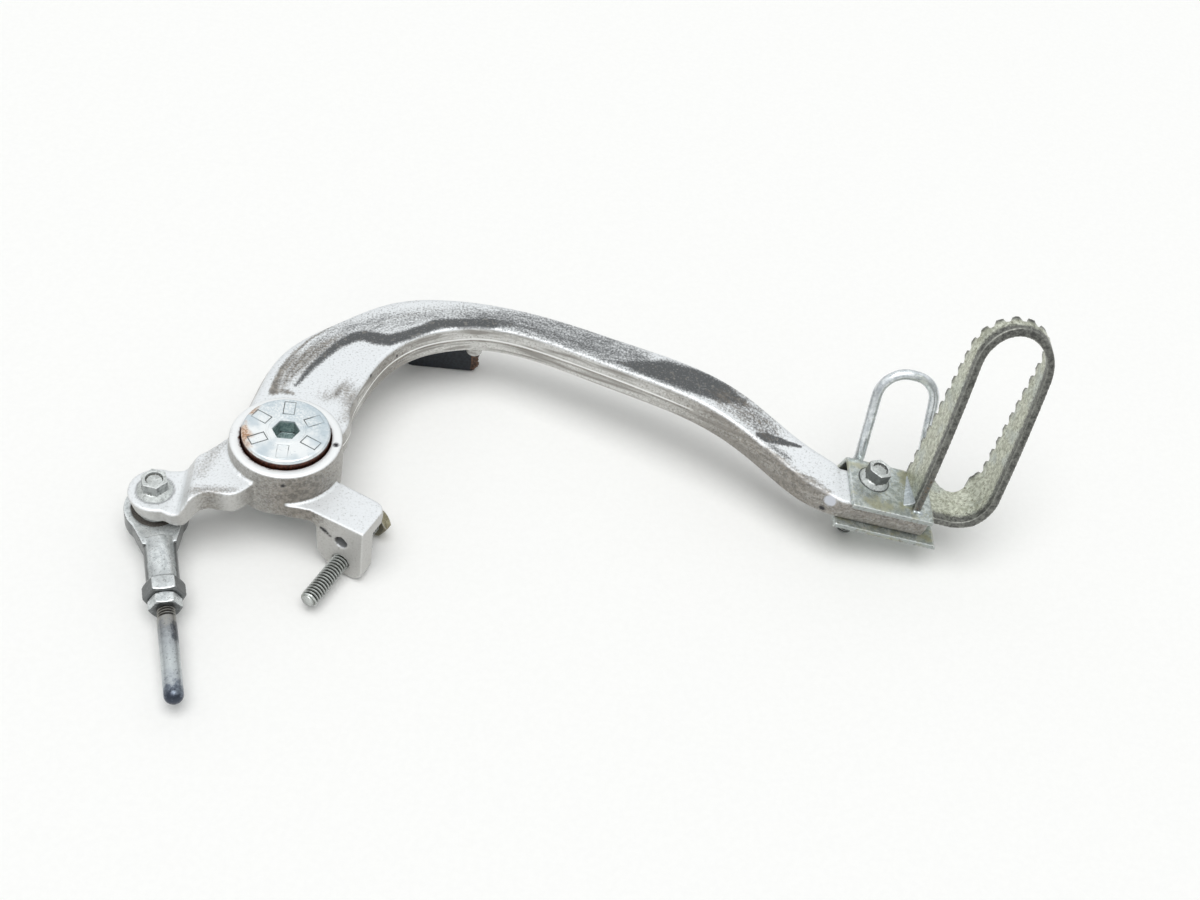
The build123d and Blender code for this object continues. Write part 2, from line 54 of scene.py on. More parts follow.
# %% [markdown]
# ## Camera
# A camera can be aimed with a constraint or by its matrix. The matrix is used here, because a camera
# that was fitted to the photograph is known by its three directions and the place where it stands.

# %% Camera
CAMERA_PLACE = Vector((49.2, -417.2, 455.8)) * MM
CAMERA_RIGHT = Vector((0.9919, 0.0, 0.1267))
CAMERA_UP = Vector((-0.0878, 0.7206, 0.6878))
CAMERA_BACK = Vector((-0.0913, -0.6934, 0.7148))
LENS = 54.0
SENSOR = 36.0

camera_data = bpy.data.cameras.new("camera")
camera_data.lens = LENS
camera_data.sensor_width = SENSOR
camera_data.clip_start = 0.01
camera = bpy.data.objects.new("camera", camera_data)
bpy.context.scene.collection.objects.link(camera)
turn = Matrix((CAMERA_RIGHT, CAMERA_UP, CAMERA_BACK)).transposed()
camera.matrix_world = Matrix.Translation(CAMERA_PLACE) @ turn.to_4x4()
bpy.context.scene.camera = camera
bpy.context.scene.view_settings.view_transform = "Standard"
print("camera at", [round(value, 3) for value in CAMERA_PLACE])

# %% [markdown]
# ## Shader helpers
# A procedural finish is a chain of small nodes: a noise, a threshold on it and a mix of two colours.
# Wiring them by hand takes many lines, so short helpers do it. A colour is typed as it looks on
# the screen, from 0 to 255, and turned into the linear value that the shader wants.

# %% Shader helpers
def shade(red, green, blue):
    """A screen colour as a linear shader colour."""
    linear = []
    for value in (red, green, blue):
        value = value / 255
        linear.append(value / 12.92 if value <= 0.04045 else ((value + 0.055) / 1.055) ** 2.4)
    return (*linear, 1.0)


def wire(tree, kind, inputs, **settings):
    """Add a shader node. An input that is a socket is linked, and any other value is set."""
    made = tree.nodes.new(kind)
    for key, value in settings.items():
        setattr(made, key, value)
    for key, value in inputs.items():
        if isinstance(value, bpy.types.NodeSocket):
            tree.links.new(value, made.inputs[key])
        else:
            made.inputs[key].default_value = value
    return made


def start_finish(name):
    """A new material: its tree, its main shader and the Object coordinates."""
    material = bpy.data.materials.new(name)
    material.use_nodes = True
    tree = material.node_tree
    place = tree.nodes.new("ShaderNodeTexCoord").outputs["Object"]
    return material, tree, tree.nodes["Principled BSDF"], place


def grain(tree, place, size, detail=3.0, rough=0.55):
    """A noise whose blobs are about size millimetres wide."""
    inputs = {"Vector": place, "Scale": 1 / (size * MM), "Detail": detail, "Roughness": rough}
    return wire(tree, "ShaderNodeTexNoise", inputs).outputs["Fac"]


def between(tree, value, low, high):
    """0 below low, 1 above high, and a soft step between them."""
    inputs = {"Value": value, "From Min": low, "From Max": high}
    return wire(tree, "ShaderNodeMapRange", inputs, interpolation_type="SMOOTHSTEP").outputs["Result"]


def figure(tree, operation, first, second):
    """One calculation with two values."""
    return wire(tree, "ShaderNodeMath", {0: first, 1: second}, operation=operation).outputs["Value"]


def mixed(tree, share, first, second):
    """The first colour where share is 0, the second where it is 1."""
    inputs = {0: share, 6: first, 7: second}
    return wire(tree, "ShaderNodeMix", inputs, data_type="RGBA").outputs[2]


def painted(tree, name):
    """A mask that was painted on the mesh."""
    return wire(tree, "ShaderNodeAttribute", {}, attribute_name=name).outputs["Fac"]


def scaled(tree, value, low, high):
    """A value that runs from 0 to 1, turned into one from low to high."""
    inputs = {"Value": value, "To Min": low, "To Max": high}
    return wire(tree, "ShaderNodeMapRange", inputs).outputs["Result"]


def blotchy(tree, texture, low, high, first, second):
    """Two colours in the blotches of a texture."""
    return mixed(tree, between(tree, texture, low, high), first, second)


def tinted(tree, colour, mask, share, tint):
    """A colour with a tint over it where the mask is 1, as strong as share."""
    return mixed(tree, figure(tree, "MULTIPLY", mask, share), colour, tint)


def bump(tree, shader, height, depth):
    """Small relief, depth in millimetres."""
    made = wire(tree, "ShaderNodeBump", {"Height": height, "Distance": depth * MM})
    tree.links.new(made.outputs["Normal"], shader.inputs["Normal"])


def finish_with(tree, shader, colour, rough, metallic):
    """Set or link the main sockets of a finish."""
    for key, value in (("Base Color", colour), ("Roughness", rough), ("Metallic", metallic)):
        if isinstance(value, bpy.types.NodeSocket):
            tree.links.new(value, shader.inputs[key])
        else:
            shader.inputs[key].default_value = value


print("shader helpers ready")

# %% [markdown]
# ## Floor and light
# The pedal rests on its stop tab, its toe bolt and its bumper, so the sheet under it is a little
# tilted in this frame. It is a plane just under those three points. The light is one soft lamp
# overhead and a pale room. The lamp is a sun with a wide angle, because a lamp that is far
# away lights the sheet evenly. Metal looks like what it mirrors, so the room that is seen or mirrored
# is white overhead and grey towards the horizon, which gives bright faces dark edges.

# %% Floor and light
FLOOR_HEIGHT = -16.2 * MM
FLOOR_SLOPE_X = -0.052
FLOOR_SLOPE_Y = 0.0294
FLOOR_HALF = 8.0
LAMP_FROM = Vector((-0.02, -0.25, 1.0))
LAMP_ANGLE = 50.0
LAMP_STRENGTH = 1.86
ROOM_FILL = 0.46
HORIZON = 0.45
GREY_TO = 0.05
WHITE_FROM = 0.6

material, tree, shader, place = start_finish("pale_sheet")
fibre = between(tree, grain(tree, place, 2.0), 0.3, 0.7)
finish_with(tree, shader, mixed(tree, fibre, shade(249, 249, 247), shade(251, 251, 249)), 0.8, 0.0)
bump(tree, shader, grain(tree, place, 1.2), 0.02)

bm = bmesh.new()
bmesh.ops.create_grid(bm, x_segments=1, y_segments=1, size=FLOOR_HALF)
for corner in bm.verts:
    corner.co.z = FLOOR_HEIGHT + FLOOR_SLOPE_X * corner.co.x + FLOOR_SLOPE_Y * corner.co.y
floor_mesh = bpy.data.meshes.new("floor")
bm.to_mesh(floor_mesh)
bm.free()
floor_mesh.materials.append(material)
floor = bpy.data.objects.new("floor", floor_mesh)
bpy.context.scene.collection.objects.link(floor)

lamp_data = bpy.data.lights.new("soft_sky", "SUN")
lamp_data.angle = radians(LAMP_ANGLE)
lamp_data.energy = LAMP_STRENGTH
lamp = bpy.data.objects.new("soft_sky", lamp_data)
lamp.location = LAMP_FROM
lamp.rotation_euler = (-LAMP_FROM).to_track_quat("-Z", "Y").to_euler()
bpy.context.scene.collection.objects.link(lamp)

world = bpy.data.worlds.new("pale_room")
world.use_nodes = True
tree = world.node_tree
heading = tree.nodes.new("ShaderNodeTexCoord").outputs["Generated"]
height = wire(tree, "ShaderNodeSeparateXYZ", {"Vector": heading}).outputs["Z"]
ways = tree.nodes.new("ShaderNodeLightPath").outputs
seen = figure(tree, "MAXIMUM", ways["Is Camera Ray"], ways["Is Glossy Ray"])
seen = figure(tree, "MAXIMUM", seen, ways["Is Transmission Ray"])
room = scaled(tree, between(tree, height, GREY_TO, WHITE_FROM), HORIZON, 1.0)
level = scaled(tree, seen, ROOM_FILL, room)
backdrop = tree.nodes["Background"]
backdrop.inputs["Color"].default_value = shade(250, 252, 253)
tree.links.new(level, backdrop.inputs["Strength"])
bpy.context.scene.world = world
print("lamp strength", LAMP_STRENGTH)

# %% [markdown]
# ## A skin with soft edges
# Forged and cast metal has no sharp edges. A Bevel modifier fails on the loose triangles of a CAD
# mesh, so a copy is merged, rebuilt from small voxels and smoothed, which rounds every edge alike
# and gives enough points to paint wear on. The arm first gets a narrow lip inside the recess round
# the bolt head, which keeps the slit there thin.

# %% Skin helpers
MERGE_GAP = 0.002
RING_STEPS = 64


def add_piece(name, mesh, body, slot, *replaced):
    """Link a mesh as a piece of one body."""
    piece = bpy.data.objects.new(name, mesh)
    bpy.context.scene.collection.objects.link(piece)
    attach(piece, body)
    if replaced:
        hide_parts(*replaced)
    return piece


def merged_copy(node):
    """A CAD solid as a bmesh with its loose triangles joined."""
    bm = bmesh.new()
    bm.from_mesh(nodes[node].data)
    bmesh.ops.remove_doubles(bm, verts=bm.verts, dist=MERGE_GAP * MM)
    return bm


def skinned(bm, name, voxel, passes):
    """The bmesh rebuilt from voxels of a size in millimetres, smoothed a few times."""
    rough_mesh = bpy.data.meshes.new(name)
    bm.to_mesh(rough_mesh)
    bm.free()
    helper = bpy.data.objects.new(name, rough_mesh)
    bpy.context.scene.collection.objects.link(helper)
    remesh = helper.modifiers.new("voxels", "REMESH")
    remesh.mode = "VOXEL"
    remesh.voxel_size = voxel * MM
    remesh.use_smooth_shade = True
    soften = helper.modifiers.new("soften", "SMOOTH")
    soften.factor = 0.5
    soften.iterations = passes
    depsgraph = bpy.context.evaluated_depsgraph_get()
    mesh = bpy.data.meshes.new_from_object(helper.evaluated_get(depsgraph))
    bpy.data.objects.remove(helper)
    mesh.materials.clear()
    mesh.name = name
    return mesh


def plain_mesh(bm, name, smooth_angle=35.0):
    """A bmesh as a mesh, smooth apart from its sharp edges."""
    mesh = bpy.data.meshes.new(name)
    bm.to_mesh(mesh)
    bm.free()
    mesh.shade_smooth()
    mesh.set_sharp_from_angle(angle=radians(smooth_angle))
    return mesh


def ring_of(bm, profile, closed):
    """Spin a profile of (radius, height) points, in millimetres, round the pivot axis."""
    line = [bm.verts.new((out * MM, 0, height * MM)) for out, height in profile]
    ends = line[1:] + line[:1] if closed else line[1:]
    edges = [bm.edges.new(pair) for pair in zip(line, ends)]
    bmesh.ops.spin(bm, geom=line + edges, axis=(0, 0, 1), cent=(0, 0, 0), angle=2 * pi, steps=RING_STEPS,
                   use_merge=True)
    bmesh.ops.recalc_face_normals(bm, faces=bm.faces)


LIP_INSIDE = 15.0
LIP_OUTSIDE = 17.2
LIP_LOW = 16.8
LIP_TOP = 18.9
ARM_VOXEL = 0.58

bm = merged_copy("pedal_arm")
lip = [(LIP_INSIDE, LIP_LOW), (LIP_OUTSIDE, LIP_LOW), (LIP_OUTSIDE, LIP_TOP), (LIP_INSIDE, LIP_TOP)]
ring_of(bm, lip, True)
arm_mesh = skinned(bm, "arm_skin", ARM_VOXEL, 2)
add_piece("arm_skin", arm_mesh, "pedal", "forged_aluminium", "pedal_arm")
print("arm skin:", len(arm_mesh.polygons), "faces")

# %% [markdown]
# ## Edges and corners
# Corners get dirt and painted shade, and edges get wear and a painted highlight. Both can be read
# from the shape: where the neighbours of a point lie above its tangent plane it sits in a corner,
# and where they lie below it is an edge. The result is kept on the mesh as two masks.

# %% Shape masks
def mesh_points(mesh):
    """The mesh's points in millimetres and its normals."""
    points = np.empty(len(mesh.vertices) * 3, np.float32)
    normals = np.empty(len(mesh.vertices) * 3, np.float32)
    mesh.vertices.foreach_get("co", points)
    mesh.vertices.foreach_get("normal", normals)
    return points.reshape(-1, 3) / MM, normals.reshape(-1, 3)


def soft_step(value, low, high):
    """0 below low, 1 above high, and a soft step between them."""
    share = np.clip((value - low) / (high - low), 0, 1)
    return share * share * (3 - 2 * share)


def store(mesh, name, values):
    """Keep a mask on the mesh under a name."""
    layer = mesh.attributes.new(name, "FLOAT", "POINT")
    layer.data.foreach_set("value", np.clip(values, 0, 1).astype(np.float32))


def links(mesh):
    """The two ends of every edge, and how many edges meet at each point."""
    ends = np.empty(len(mesh.edges) * 2, np.int32)
    mesh.edges.foreach_get("vertices", ends)
    first, second = ends.reshape(-1, 2).T
    meeting = np.bincount(ends, minlength=len(mesh.vertices))
    return first, second, np.maximum(meeting, 1)


def spread_out(mesh, values, rounds):
    """Soften a mask by mixing each point with its neighbours a few times."""
    first, second, meeting = links(mesh)
    for _ in range(rounds):
        around = np.bincount(first, values[second], len(values))
        around = around + np.bincount(second, values[first], len(values))
        values = (values + around / meeting) / 2
    return values


def mark_shape(mesh, rounds=2, full=0.22):
    """Store the masks edge and crevice, spread over a few rings of points."""
    points, normals = mesh_points(mesh)
    first, second, meeting = links(mesh)
    step = points[second] - points[first]
    step /= np.maximum(np.linalg.norm(step, axis=1, keepdims=True), 1e-9)
    rise = np.bincount(first, (step * normals[first]).sum(1), len(points))
    rise = (rise + np.bincount(second, (-step * normals[second]).sum(1), len(points))) / meeting
    rise = spread_out(mesh, rise, rounds)
    store(mesh, "edge", soft_step(-rise, 0.03, full))
    store(mesh, "crevice", soft_step(rise, 0.03, full))


mark_shape(arm_mesh)
print("shape masks on", len(arm_mesh.vertices), "points")

# %% [markdown]
# ## Painting wear
# A boot rubs the same places for years, so the wear has a shape of its own and no texture can guess
# it. A few points of each mark are typed in millimetres as seen from above, each with its half
# width, and every point of the mesh gets a value from its distance to that line. The shader later
# breaks up the edges with noise. The wear runs along the arm, so each point also learns how far
# along the arm and how far aside it lies, and a stretched noise on that gives streaks.

# %% Paint helpers
def route_place(points, route):
    """For each point: how far along a route it lies, how far aside, and the route's width there."""
    best = np.full(len(points), 1e9)
    along = np.zeros(len(points))
    aside = np.zeros(len(points))
    done = 0.0
    for (x0, y0, w0), (x1, y1, w1) in zip(route[:-1], route[1:]):
        run = np.array((x1 - x0, y1 - y0))
        reach = np.linalg.norm(run)
        offset = points[:, :2] - np.array((x0, y0))
        share = np.clip(offset @ run / reach ** 2, 0, 1)
        gap = np.linalg.norm(offset - share[:, None] * run, axis=1) - (w0 + share * (w1 - w0))
        closer = gap < best
        best = np.where(closer, gap, best)
        along = np.where(closer, done + share * reach, along)
        aside = np.where(closer, (run[0] * offset[:, 1] - run[1] * offset[:, 0]) / reach, aside)
        done += reach
    return along, aside, best


def route_mask(points, route, feather):
    """1 on a route of (x, y, half width) points as seen from above, fading out over feather."""
    gap = route_place(points, route)[2]
    return 1 - soft_step(gap, -feather / 2, feather / 2)


def highest(points, strokes):
    """The strongest of several strokes, each a route, a feather and a strength."""
    mask = np.zeros(len(points))
    for route, feather, strength in strokes:
        mask = np.maximum(mask, route_mask(points, route, feather) * strength)
    return mask


def spot_mask(points, centre, radius, feather):
    """1 inside a ball, fading out over feather."""
    gap = np.linalg.norm(points - np.array(centre), axis=1) - radius
    return 1 - soft_step(gap, -feather / 2, feather / 2)


CENTRE_LINE = [(2.5, 6.0, 0), (5.0, 31.2, 0), (11.5, 44.9, 0), (19.5, 55.0, 0), (30.0, 65.0, 0),
               (43.5, 71.6, 0), (58.0, 74.0, 0), (77.0, 72.3, 0), (100.0, 65.1, 0), (139.0, 49.5, 0),
               (165.0, 35.5, 0), (179.0, 26.0, 0), (212.0, 18.0, 0)]
points, normals = mesh_points(arm_mesh)
along, aside, gap = route_place(points, CENTRE_LINE)
lane = arm_mesh.attributes.new("lane", "FLOAT_VECTOR", "POINT")
lane.data.foreach_set("vector", np.stack((along, aside, points[:, 2]), 1).astype(np.float32).ravel())
print("arm is", round(float(along.max())), "mm along its middle")

# %% [markdown]
# ## Where the arm is worn
# The dark marks are places polished by wear, and their dark is a painted reflection of dark
# surroundings in the polished metal: a band that follows the arch, a grey stretch in the middle and
# a large patch before the bend. Brown dirt lies beside the boss, along the outer crease and on the
# flanks towards the toe. A few small chips are spots.

# %% Worn places
up = soft_step(normals[:, 2], 0.45, 0.8)
flank = 1 - soft_step(normals[:, 2], 0.3, 0.75)

DARK_BAND = [(0.0, 28.5, 0.6), (3.8, 37.5, 1.2), (8.2, 44.8, 1.5), (12.2, 50.7, 1.9), (17.1, 55.3, 2.4),
             (21.0, 56.8, 2.8), (25.1, 55.8, 3.2), (29.7, 55.6, 3.0), (35.5, 58.8, 2.5), (41.4, 62.7, 2.5),
             (46.0, 66.3, 2.6), (51.3, 67.6, 2.5), (58.1, 68.3, 2.8), (66.0, 69.6, 3.0)]
BAND_SIDE = [(-2.0, 36.0, 2.4), (4.0, 46.0, 4.2), (12.0, 56.5, 5.2), (24.0, 63.0, 5.4), (42.0, 70.0, 5.0),
             (60.0, 73.5, 5.0)]
GREY_STRETCH = [(58.0, 72.5, 4.0), (70.0, 72.0, 6.0), (84.0, 69.8, 6.5), (100.0, 64.6, 7.0),
                (118.0, 58.0, 7.0)]
DARK_PATCH = [(62.0, 70.6, 3.2), (73.0, 70.2, 2.6)]
GREY_STREAK = [(72.0, 70.2, 1.8), (88.0, 66.8, 2.2), (104.0, 60.8, 1.8), (112.0, 57.0, 1.2)]
CHARCOAL = [(110.0, 55.6, 0.6), (119.0, 54.2, 3.4), (129.0, 52.6, 6.0), (140.0, 48.9, 6.6),
            (150.0, 45.4, 5.4), (157.0, 43.4, 2.2)]
BEND_SCRATCHES = [(153.0, 43.0, 6.0), (166.0, 34.5, 6.0)]
WEDGE = [(163.0, 30.6, 1.0), (166.0, 30.3, 2.1), (171.0, 30.4, 1.6), (179.0, 30.2, 0.6)]
WEDGE_FRINGE = [(167.0, 28.0, 1.0), (174.0, 24.0, 1.6)]
polish_and_reflection = highest(points, [(DARK_BAND, 2.6, 1.0), (BAND_SIDE, 8.0, 0.44), (GREY_STRETCH, 7.0, 0.6),
                          (DARK_PATCH, 6.0, 0.9), (GREY_STREAK, 4.0, 0.74), (CHARCOAL, 4.4, 1.0),
                          (CHARCOAL, 10.0, 0.56), (BEND_SCRATCHES, 7.0, 0.5), (WEDGE, 1.0, 1.0),
                          (WEDGE_FRINGE, 3.0, 0.6)])
beyond_boss = np.maximum(soft_step(points[:, 1], 22.0, 26.0), soft_step(points[:, 0], 40.0, 60.0))
store(arm_mesh, "polish_and_reflection", polish_and_reflection * up * beyond_boss)
store(arm_mesh, "arm_only", beyond_boss)

OUTER_CREASE = [(-7.6, 24.0, 1.2), (-7.0, 30.2, 0.9), (-5.8, 36.2, 0.8), (-2.3, 44.8, 0.7),
                (2.6, 52.8, 0.5), (9.0, 60.0, 0.2)]
BROWN_ZONE = [(-5.0, 27.0, 2.2), (-3.5, 33.7, 3.4), (0.5, 41.0, 3.6), (6.5, 49.0, 2.6), (13.0, 56.0, 0.6)]
BOSS_STAIN = [(-7.6, 23.6, 1.0), (-4.6, 25.4, 1.6), (-0.6, 24.4, 0.8)]
BOSS_SPECKLE = [(11.0, 24.0, 2.0), (17.0, 28.0, 4.0), (20.0, 20.0, 3.0), (18.0, 14.0, 1.5)]
ROD_ARM_SPECKLE = [(-27.0, -22.5, 2.0), (-21.0, -22.0, 2.4), (-14.0, -20.5, 1.0)]
ROD_ARM_SLOPE = [(-26.0, -15.0, 2.6), (-23.0, -4.0, 3.0), (-19.5, 0.5, 1.5)]
TAIL_SMEAR = [(166.0, 26.0, 1.2), (178.0, 16.6, 2.2), (188.0, 11.0, 1.6)]
grime_and_shade = highest(points, [(OUTER_CREASE, 1.8, 0.95), (BROWN_ZONE, 4.0, 0.8), (BOSS_STAIN, 2.4, 0.95),
                         (BOSS_SPECKLE, 9.0, 0.7), (ROD_ARM_SPECKLE, 5.0, 0.7), (ROD_ARM_SLOPE, 7.0, 0.5),
                         (TAIL_SMEAR, 4.4, 0.85), (BEND_SCRATCHES, 7.0, 0.42)])
# The flanks are darkened a little everywhere and more towards the toe, under the arch and beside the boss:
# partly dirt, partly painted shade.
flank_dirt_and_shade = 0.2 + 0.5 * soft_step(points[:, 0], 105.0, 165.0)
flank_dirt_and_shade += 0.5 * spot_mask(points, (30.0, 46.0, 5.0), 14.0, 24.0)
flank_dirt_and_shade += 0.4 * spot_mask(points, (8.0, -19.0, 9.0), 10.0, 18.0)
flank_dirt_and_shade += 0.35 * spot_mask(points, (2.0, -4.0, 9.0), 22.0, 8.0)
store(arm_mesh, "grime_and_shade", np.maximum(grime_and_shade, flank * flank_dirt_and_shade))
store(arm_mesh, "flank", flank)

# A forging seam runs along the flank. Its line gets a painted highlight and just below it a painted shadow.
PARTING_X = (0.0, 139.0, 152.0, 165.0, 179.0, 194.0)
PARTING_Z = (10.0, 10.0, 8.5, 4.5, 0.0, -1.5)
SEAM_SPAN = 8.0
seam = points[:, 2] - np.interp(points[:, 0], PARTING_X, PARTING_Z)
store(arm_mesh, "seam", seam / SEAM_SPAN + 0.5)
here = soft_step(points[:, 1] + 0.2 * points[:, 0], 0.0, 6.0) * (1 - soft_step(points[:, 0], 128.0, 150.0))
store(arm_mesh, "seam_here", flank * here)

CHIPS = [((16.7, -1.9, 19.0), 1.0), ((1.3, -18.7, 15.2), 0.8), ((25.0, 37.6, 13.9), 0.6),
         ((33.1, 51.4, 11.5), 0.6), ((14.4, -22.7, 0.6), 0.7), ((15.0, -23.0, 0.3), 0.8),
         ((15.7, -23.4, 0.0), 0.9), ((16.6, -23.9, -0.7), 0.6), ((17.4, -24.3, -1.3), 0.5),
         ((187.2, 10.2, -4.2), 1.1)]
dark = np.zeros(len(points))
for centre, radius in CHIPS:
    dark = np.maximum(dark, spot_mask(points, centre, radius, 0.6))
HOOK_HOLE = np.array((21.6, -25.3, -2.3))
HOOK_ACROSS = np.array((0.894, -0.447, 0.0))
HOOK_ALONG = np.array((0.447, 0.894, 0.0))
HOOK_WALL = 2.9
from_hole = points - HOOK_HOLE
out = np.hypot(from_hole @ HOOK_ACROSS, from_hole[:, 2])
walls = soft_step(HOOK_WALL - out, 0.0, 0.4) * (1 - soft_step(np.abs(normals @ HOOK_ALONG), 0.4, 0.7))
dark = np.maximum(dark, 0.6 * walls * soft_step(from_hole @ HOOK_ALONG, -6.0, 0.0))
BALL_PLACE = Vector((-40.2, -18.8, -3.3))
# A thin dark ring round the eye bolt's flange is a painted shadow.
FLANGE_LINE = 6.05
from_bolt = np.linalg.norm(points[:, :2] - np.array(BALL_PLACE)[:2], axis=1)
level_face = soft_step(normals[:, 2], 0.7, 0.9)
flange_shadow = (1 - soft_step(np.abs(from_bolt - FLANGE_LINE), 0.1, 0.6)) * level_face
dark = np.maximum(dark, 0.6 * flange_shadow)
RECESS_RADIUS = 15.5
STAIN_RADIUS = 17.0
radial = np.linalg.norm(points[:, :2], axis=1)
inside = soft_step(RECESS_RADIUS - radial, 0.0, 0.5) * soft_step(points[:, 2], 4.0, 6.0)
stain_side = soft_step(-points[:, 0] - points[:, 1] * 0.6, 0.0, 14.0)
rim_stain = soft_step(STAIN_RADIUS - radial, 0.0, 1.6) * stain_side * 0.5
store(arm_mesh, "dark", dark)
store(arm_mesh, "rust", np.maximum(inside, rim_stain) * soft_step(points[:, 2], 12.0, 13.0))
store(arm_mesh, "machined", soft_step(points[:, 2], 18.4, 18.8))
store(arm_mesh, "pale", spot_mask(points, (189.0, 9.4, 0.7), 2.2, 0.5))
print("painted", len(arm_mesh.attributes), "layers on", len(points), "points")

# %% [markdown]
# ## Blasted aluminium
# The arm was blasted, which leaves a bright, grainy skin. Where a boot rubs it, the grain is gone and
# the metal is polished, and there it is painted grey and then nearly black as a painted reflection of
# dark surroundings. A colour ramp holds these steps, and it is read with the painted value plus noise,
# so each step breaks up into grains and streaks.

# %% Arm finish
def ramp(tree, value, *steps):
    """A colour ramp from (place, colour) steps."""
    made = wire(tree, "ShaderNodeValToRGB", {"Fac": value})
    for index, (place, colour) in enumerate(steps):
        stop = made.color_ramp.elements[index] if index < 2 else made.color_ramp.elements.new(place)
        stop.position = place
        stop.color = colour
    return made.outputs["Color"]


def shaken(tree, mask, texture, spread):
    """A painted mask with a texture added to it."""
    shift = figure(tree, "MULTIPLY", figure(tree, "SUBTRACT", texture, 0.5), spread)
    return figure(tree, "ADD", mask, shift)


def ragged(tree, name, texture, spread, low, high):
    """A painted mask whose edge is broken up by a texture."""
    return between(tree, shaken(tree, painted(tree, name), texture, spread), low, high)


def streaks(tree, along, across):
    """A noise drawn out along the arm."""
    lanes = wire(tree, "ShaderNodeAttribute", {}, attribute_name="lane").outputs["Vector"]
    inputs = {0: lanes, 1: (along, across, across)}
    drawn = wire(tree, "ShaderNodeVectorMath", inputs, operation="MULTIPLY").outputs[0]
    return wire(tree, "ShaderNodeTexNoise", {"Vector": drawn, "Scale": 1.0, "Detail": 4.0}).outputs["Fac"]


material, tree, shader, place = start_finish("blasted_aluminium")
streak = streaks(tree, 0.16, 0.7)
draw_lines = shaken(tree, 0.5, streaks(tree, 0.035, 0.55), painted(tree, "arm_only"))
fine = grain(tree, place, 0.75, 3.0, 0.6)
coarse = grain(tree, place, 1.6)

# Polished places: grey to nearly black, a painted reflection.
polish_and_reflection_mask = painted(tree, "polish_and_reflection")
partly = figure(tree, "MULTIPLY", polish_and_reflection_mask, figure(tree, "SUBTRACT", 1.0, polish_and_reflection_mask))
polish_and_reflection_level = shaken(tree, shaken(tree, polish_and_reflection_mask, fine, 1.5), streak, figure(tree, "MULTIPLY", partly, 2.6))
colour = ramp(tree, polish_and_reflection_level, (0.0, shade(233, 236, 238)), (0.9, shade(88, 90, 91)),
              (0.22, shade(224, 227, 228)), (0.42, shade(190, 192, 193)), (0.64, shade(136, 138, 139)),
              (1.0, shade(82, 84, 85)))
scratched = figure(tree, "MULTIPLY", between(tree, polish_and_reflection_mask, 0.6, 1.0), between(tree, coarse, 0.57, 0.68))
colour = tinted(tree, colour, scratched, 0.4, shade(158, 154, 146))
specks = between(tree, fine, 0.56, 0.7)
speckle = scaled(tree, painted(tree, "arm_only"), 0.12, 0.26)
colour = tinted(tree, colour, specks, speckle, shade(120, 121, 122))
colour = mixed(tree, painted(tree, "machined"), colour, shade(243, 245, 245))

side = blotchy(tree, draw_lines, 0.36, 0.62, shade(152, 149, 144), shade(226, 226, 223))
gritty = figure(tree, "MULTIPLY", painted(tree, "arm_only"), 0.34)
side = tinted(tree, side, specks, gritty, shade(112, 107, 99))
colour = mixed(tree, painted(tree, "flank"), colour, side)
dirt_and_shade = blotchy(tree, coarse, 0.35, 0.65, shade(96, 90, 82), shade(138, 131, 121))
# Dirt, and on the flanks painted shade too.
muck_and_shade = shaken(tree, shaken(tree, painted(tree, "grime_and_shade"), fine, 1.1), draw_lines, 1.4)
colour = tinted(tree, colour, between(tree, muck_and_shade, 0.1, 1.0), 0.9, dirt_and_shade)
# Corners: dirt and painted shade.
colour = tinted(tree, colour, ragged(tree, "crevice", fine, 1.0, 0.3, 0.9), 0.7, dirt_and_shade)
# Edges: wear and a painted highlight.
colour = tinted(tree, colour, painted(tree, "edge"), 0.3, shade(240, 241, 241))

# The seam: a painted highlight on its line and a painted shadow just below it.
offset = figure(tree, "MULTIPLY", figure(tree, "SUBTRACT", painted(tree, "seam"), 0.5), SEAM_SPAN)
line = figure(tree, "SUBTRACT", 1.0, between(tree, figure(tree, "ABSOLUTE", offset, 0.0), 0.2, 0.5))
below = figure(tree, "ABSOLUTE", figure(tree, "ADD", offset, 0.9), 0.0)
shadow = figure(tree, "SUBTRACT", 1.0, between(tree, below, 0.15, 0.6))
here = painted(tree, "seam_here")
broken = figure(tree, "MULTIPLY", here, between(tree, shaken(tree, here, streak, 1.2), 0.4, 0.7))
colour = tinted(tree, colour, figure(tree, "MULTIPLY", shadow, broken), 0.55, dirt_and_shade)
colour = tinted(tree, colour, line, broken, shade(246, 246, 244))

colour = mixed(tree, painted(tree, "pale"), colour, shade(206, 209, 216))
rusty = blotchy(tree, fine, 0.4, 0.65, shade(56, 28, 18), shade(104, 58, 38))
colour = mixed(tree, ragged(tree, "rust", coarse, 1.0, 0.35, 0.75), colour, rusty)
colour = mixed(tree, painted(tree, "dark"), colour, shade(38, 36, 40))
finish_with(tree, shader, colour, scaled(tree, polish_and_reflection_level, 0.46, 0.36), 0.35)
bump(tree, shader, fine, 0.05)
arm_mesh.materials.append(material)
print("arm finish:", len(tree.nodes), "nodes")

# %% [markdown]
# ## Zinc-plated steel
# Bolts, nuts, the rod end and the wire are zinc plated: bluish and bright when new, then mottled,
# with grey patches and a little rust. One function makes the family. Its colours tell the pieces
# apart, and the shape masks put dirt and painted shade in the corners, and bare metal and a painted
# highlight on the edges. Faces that look across a fastener's axis get painted shade.

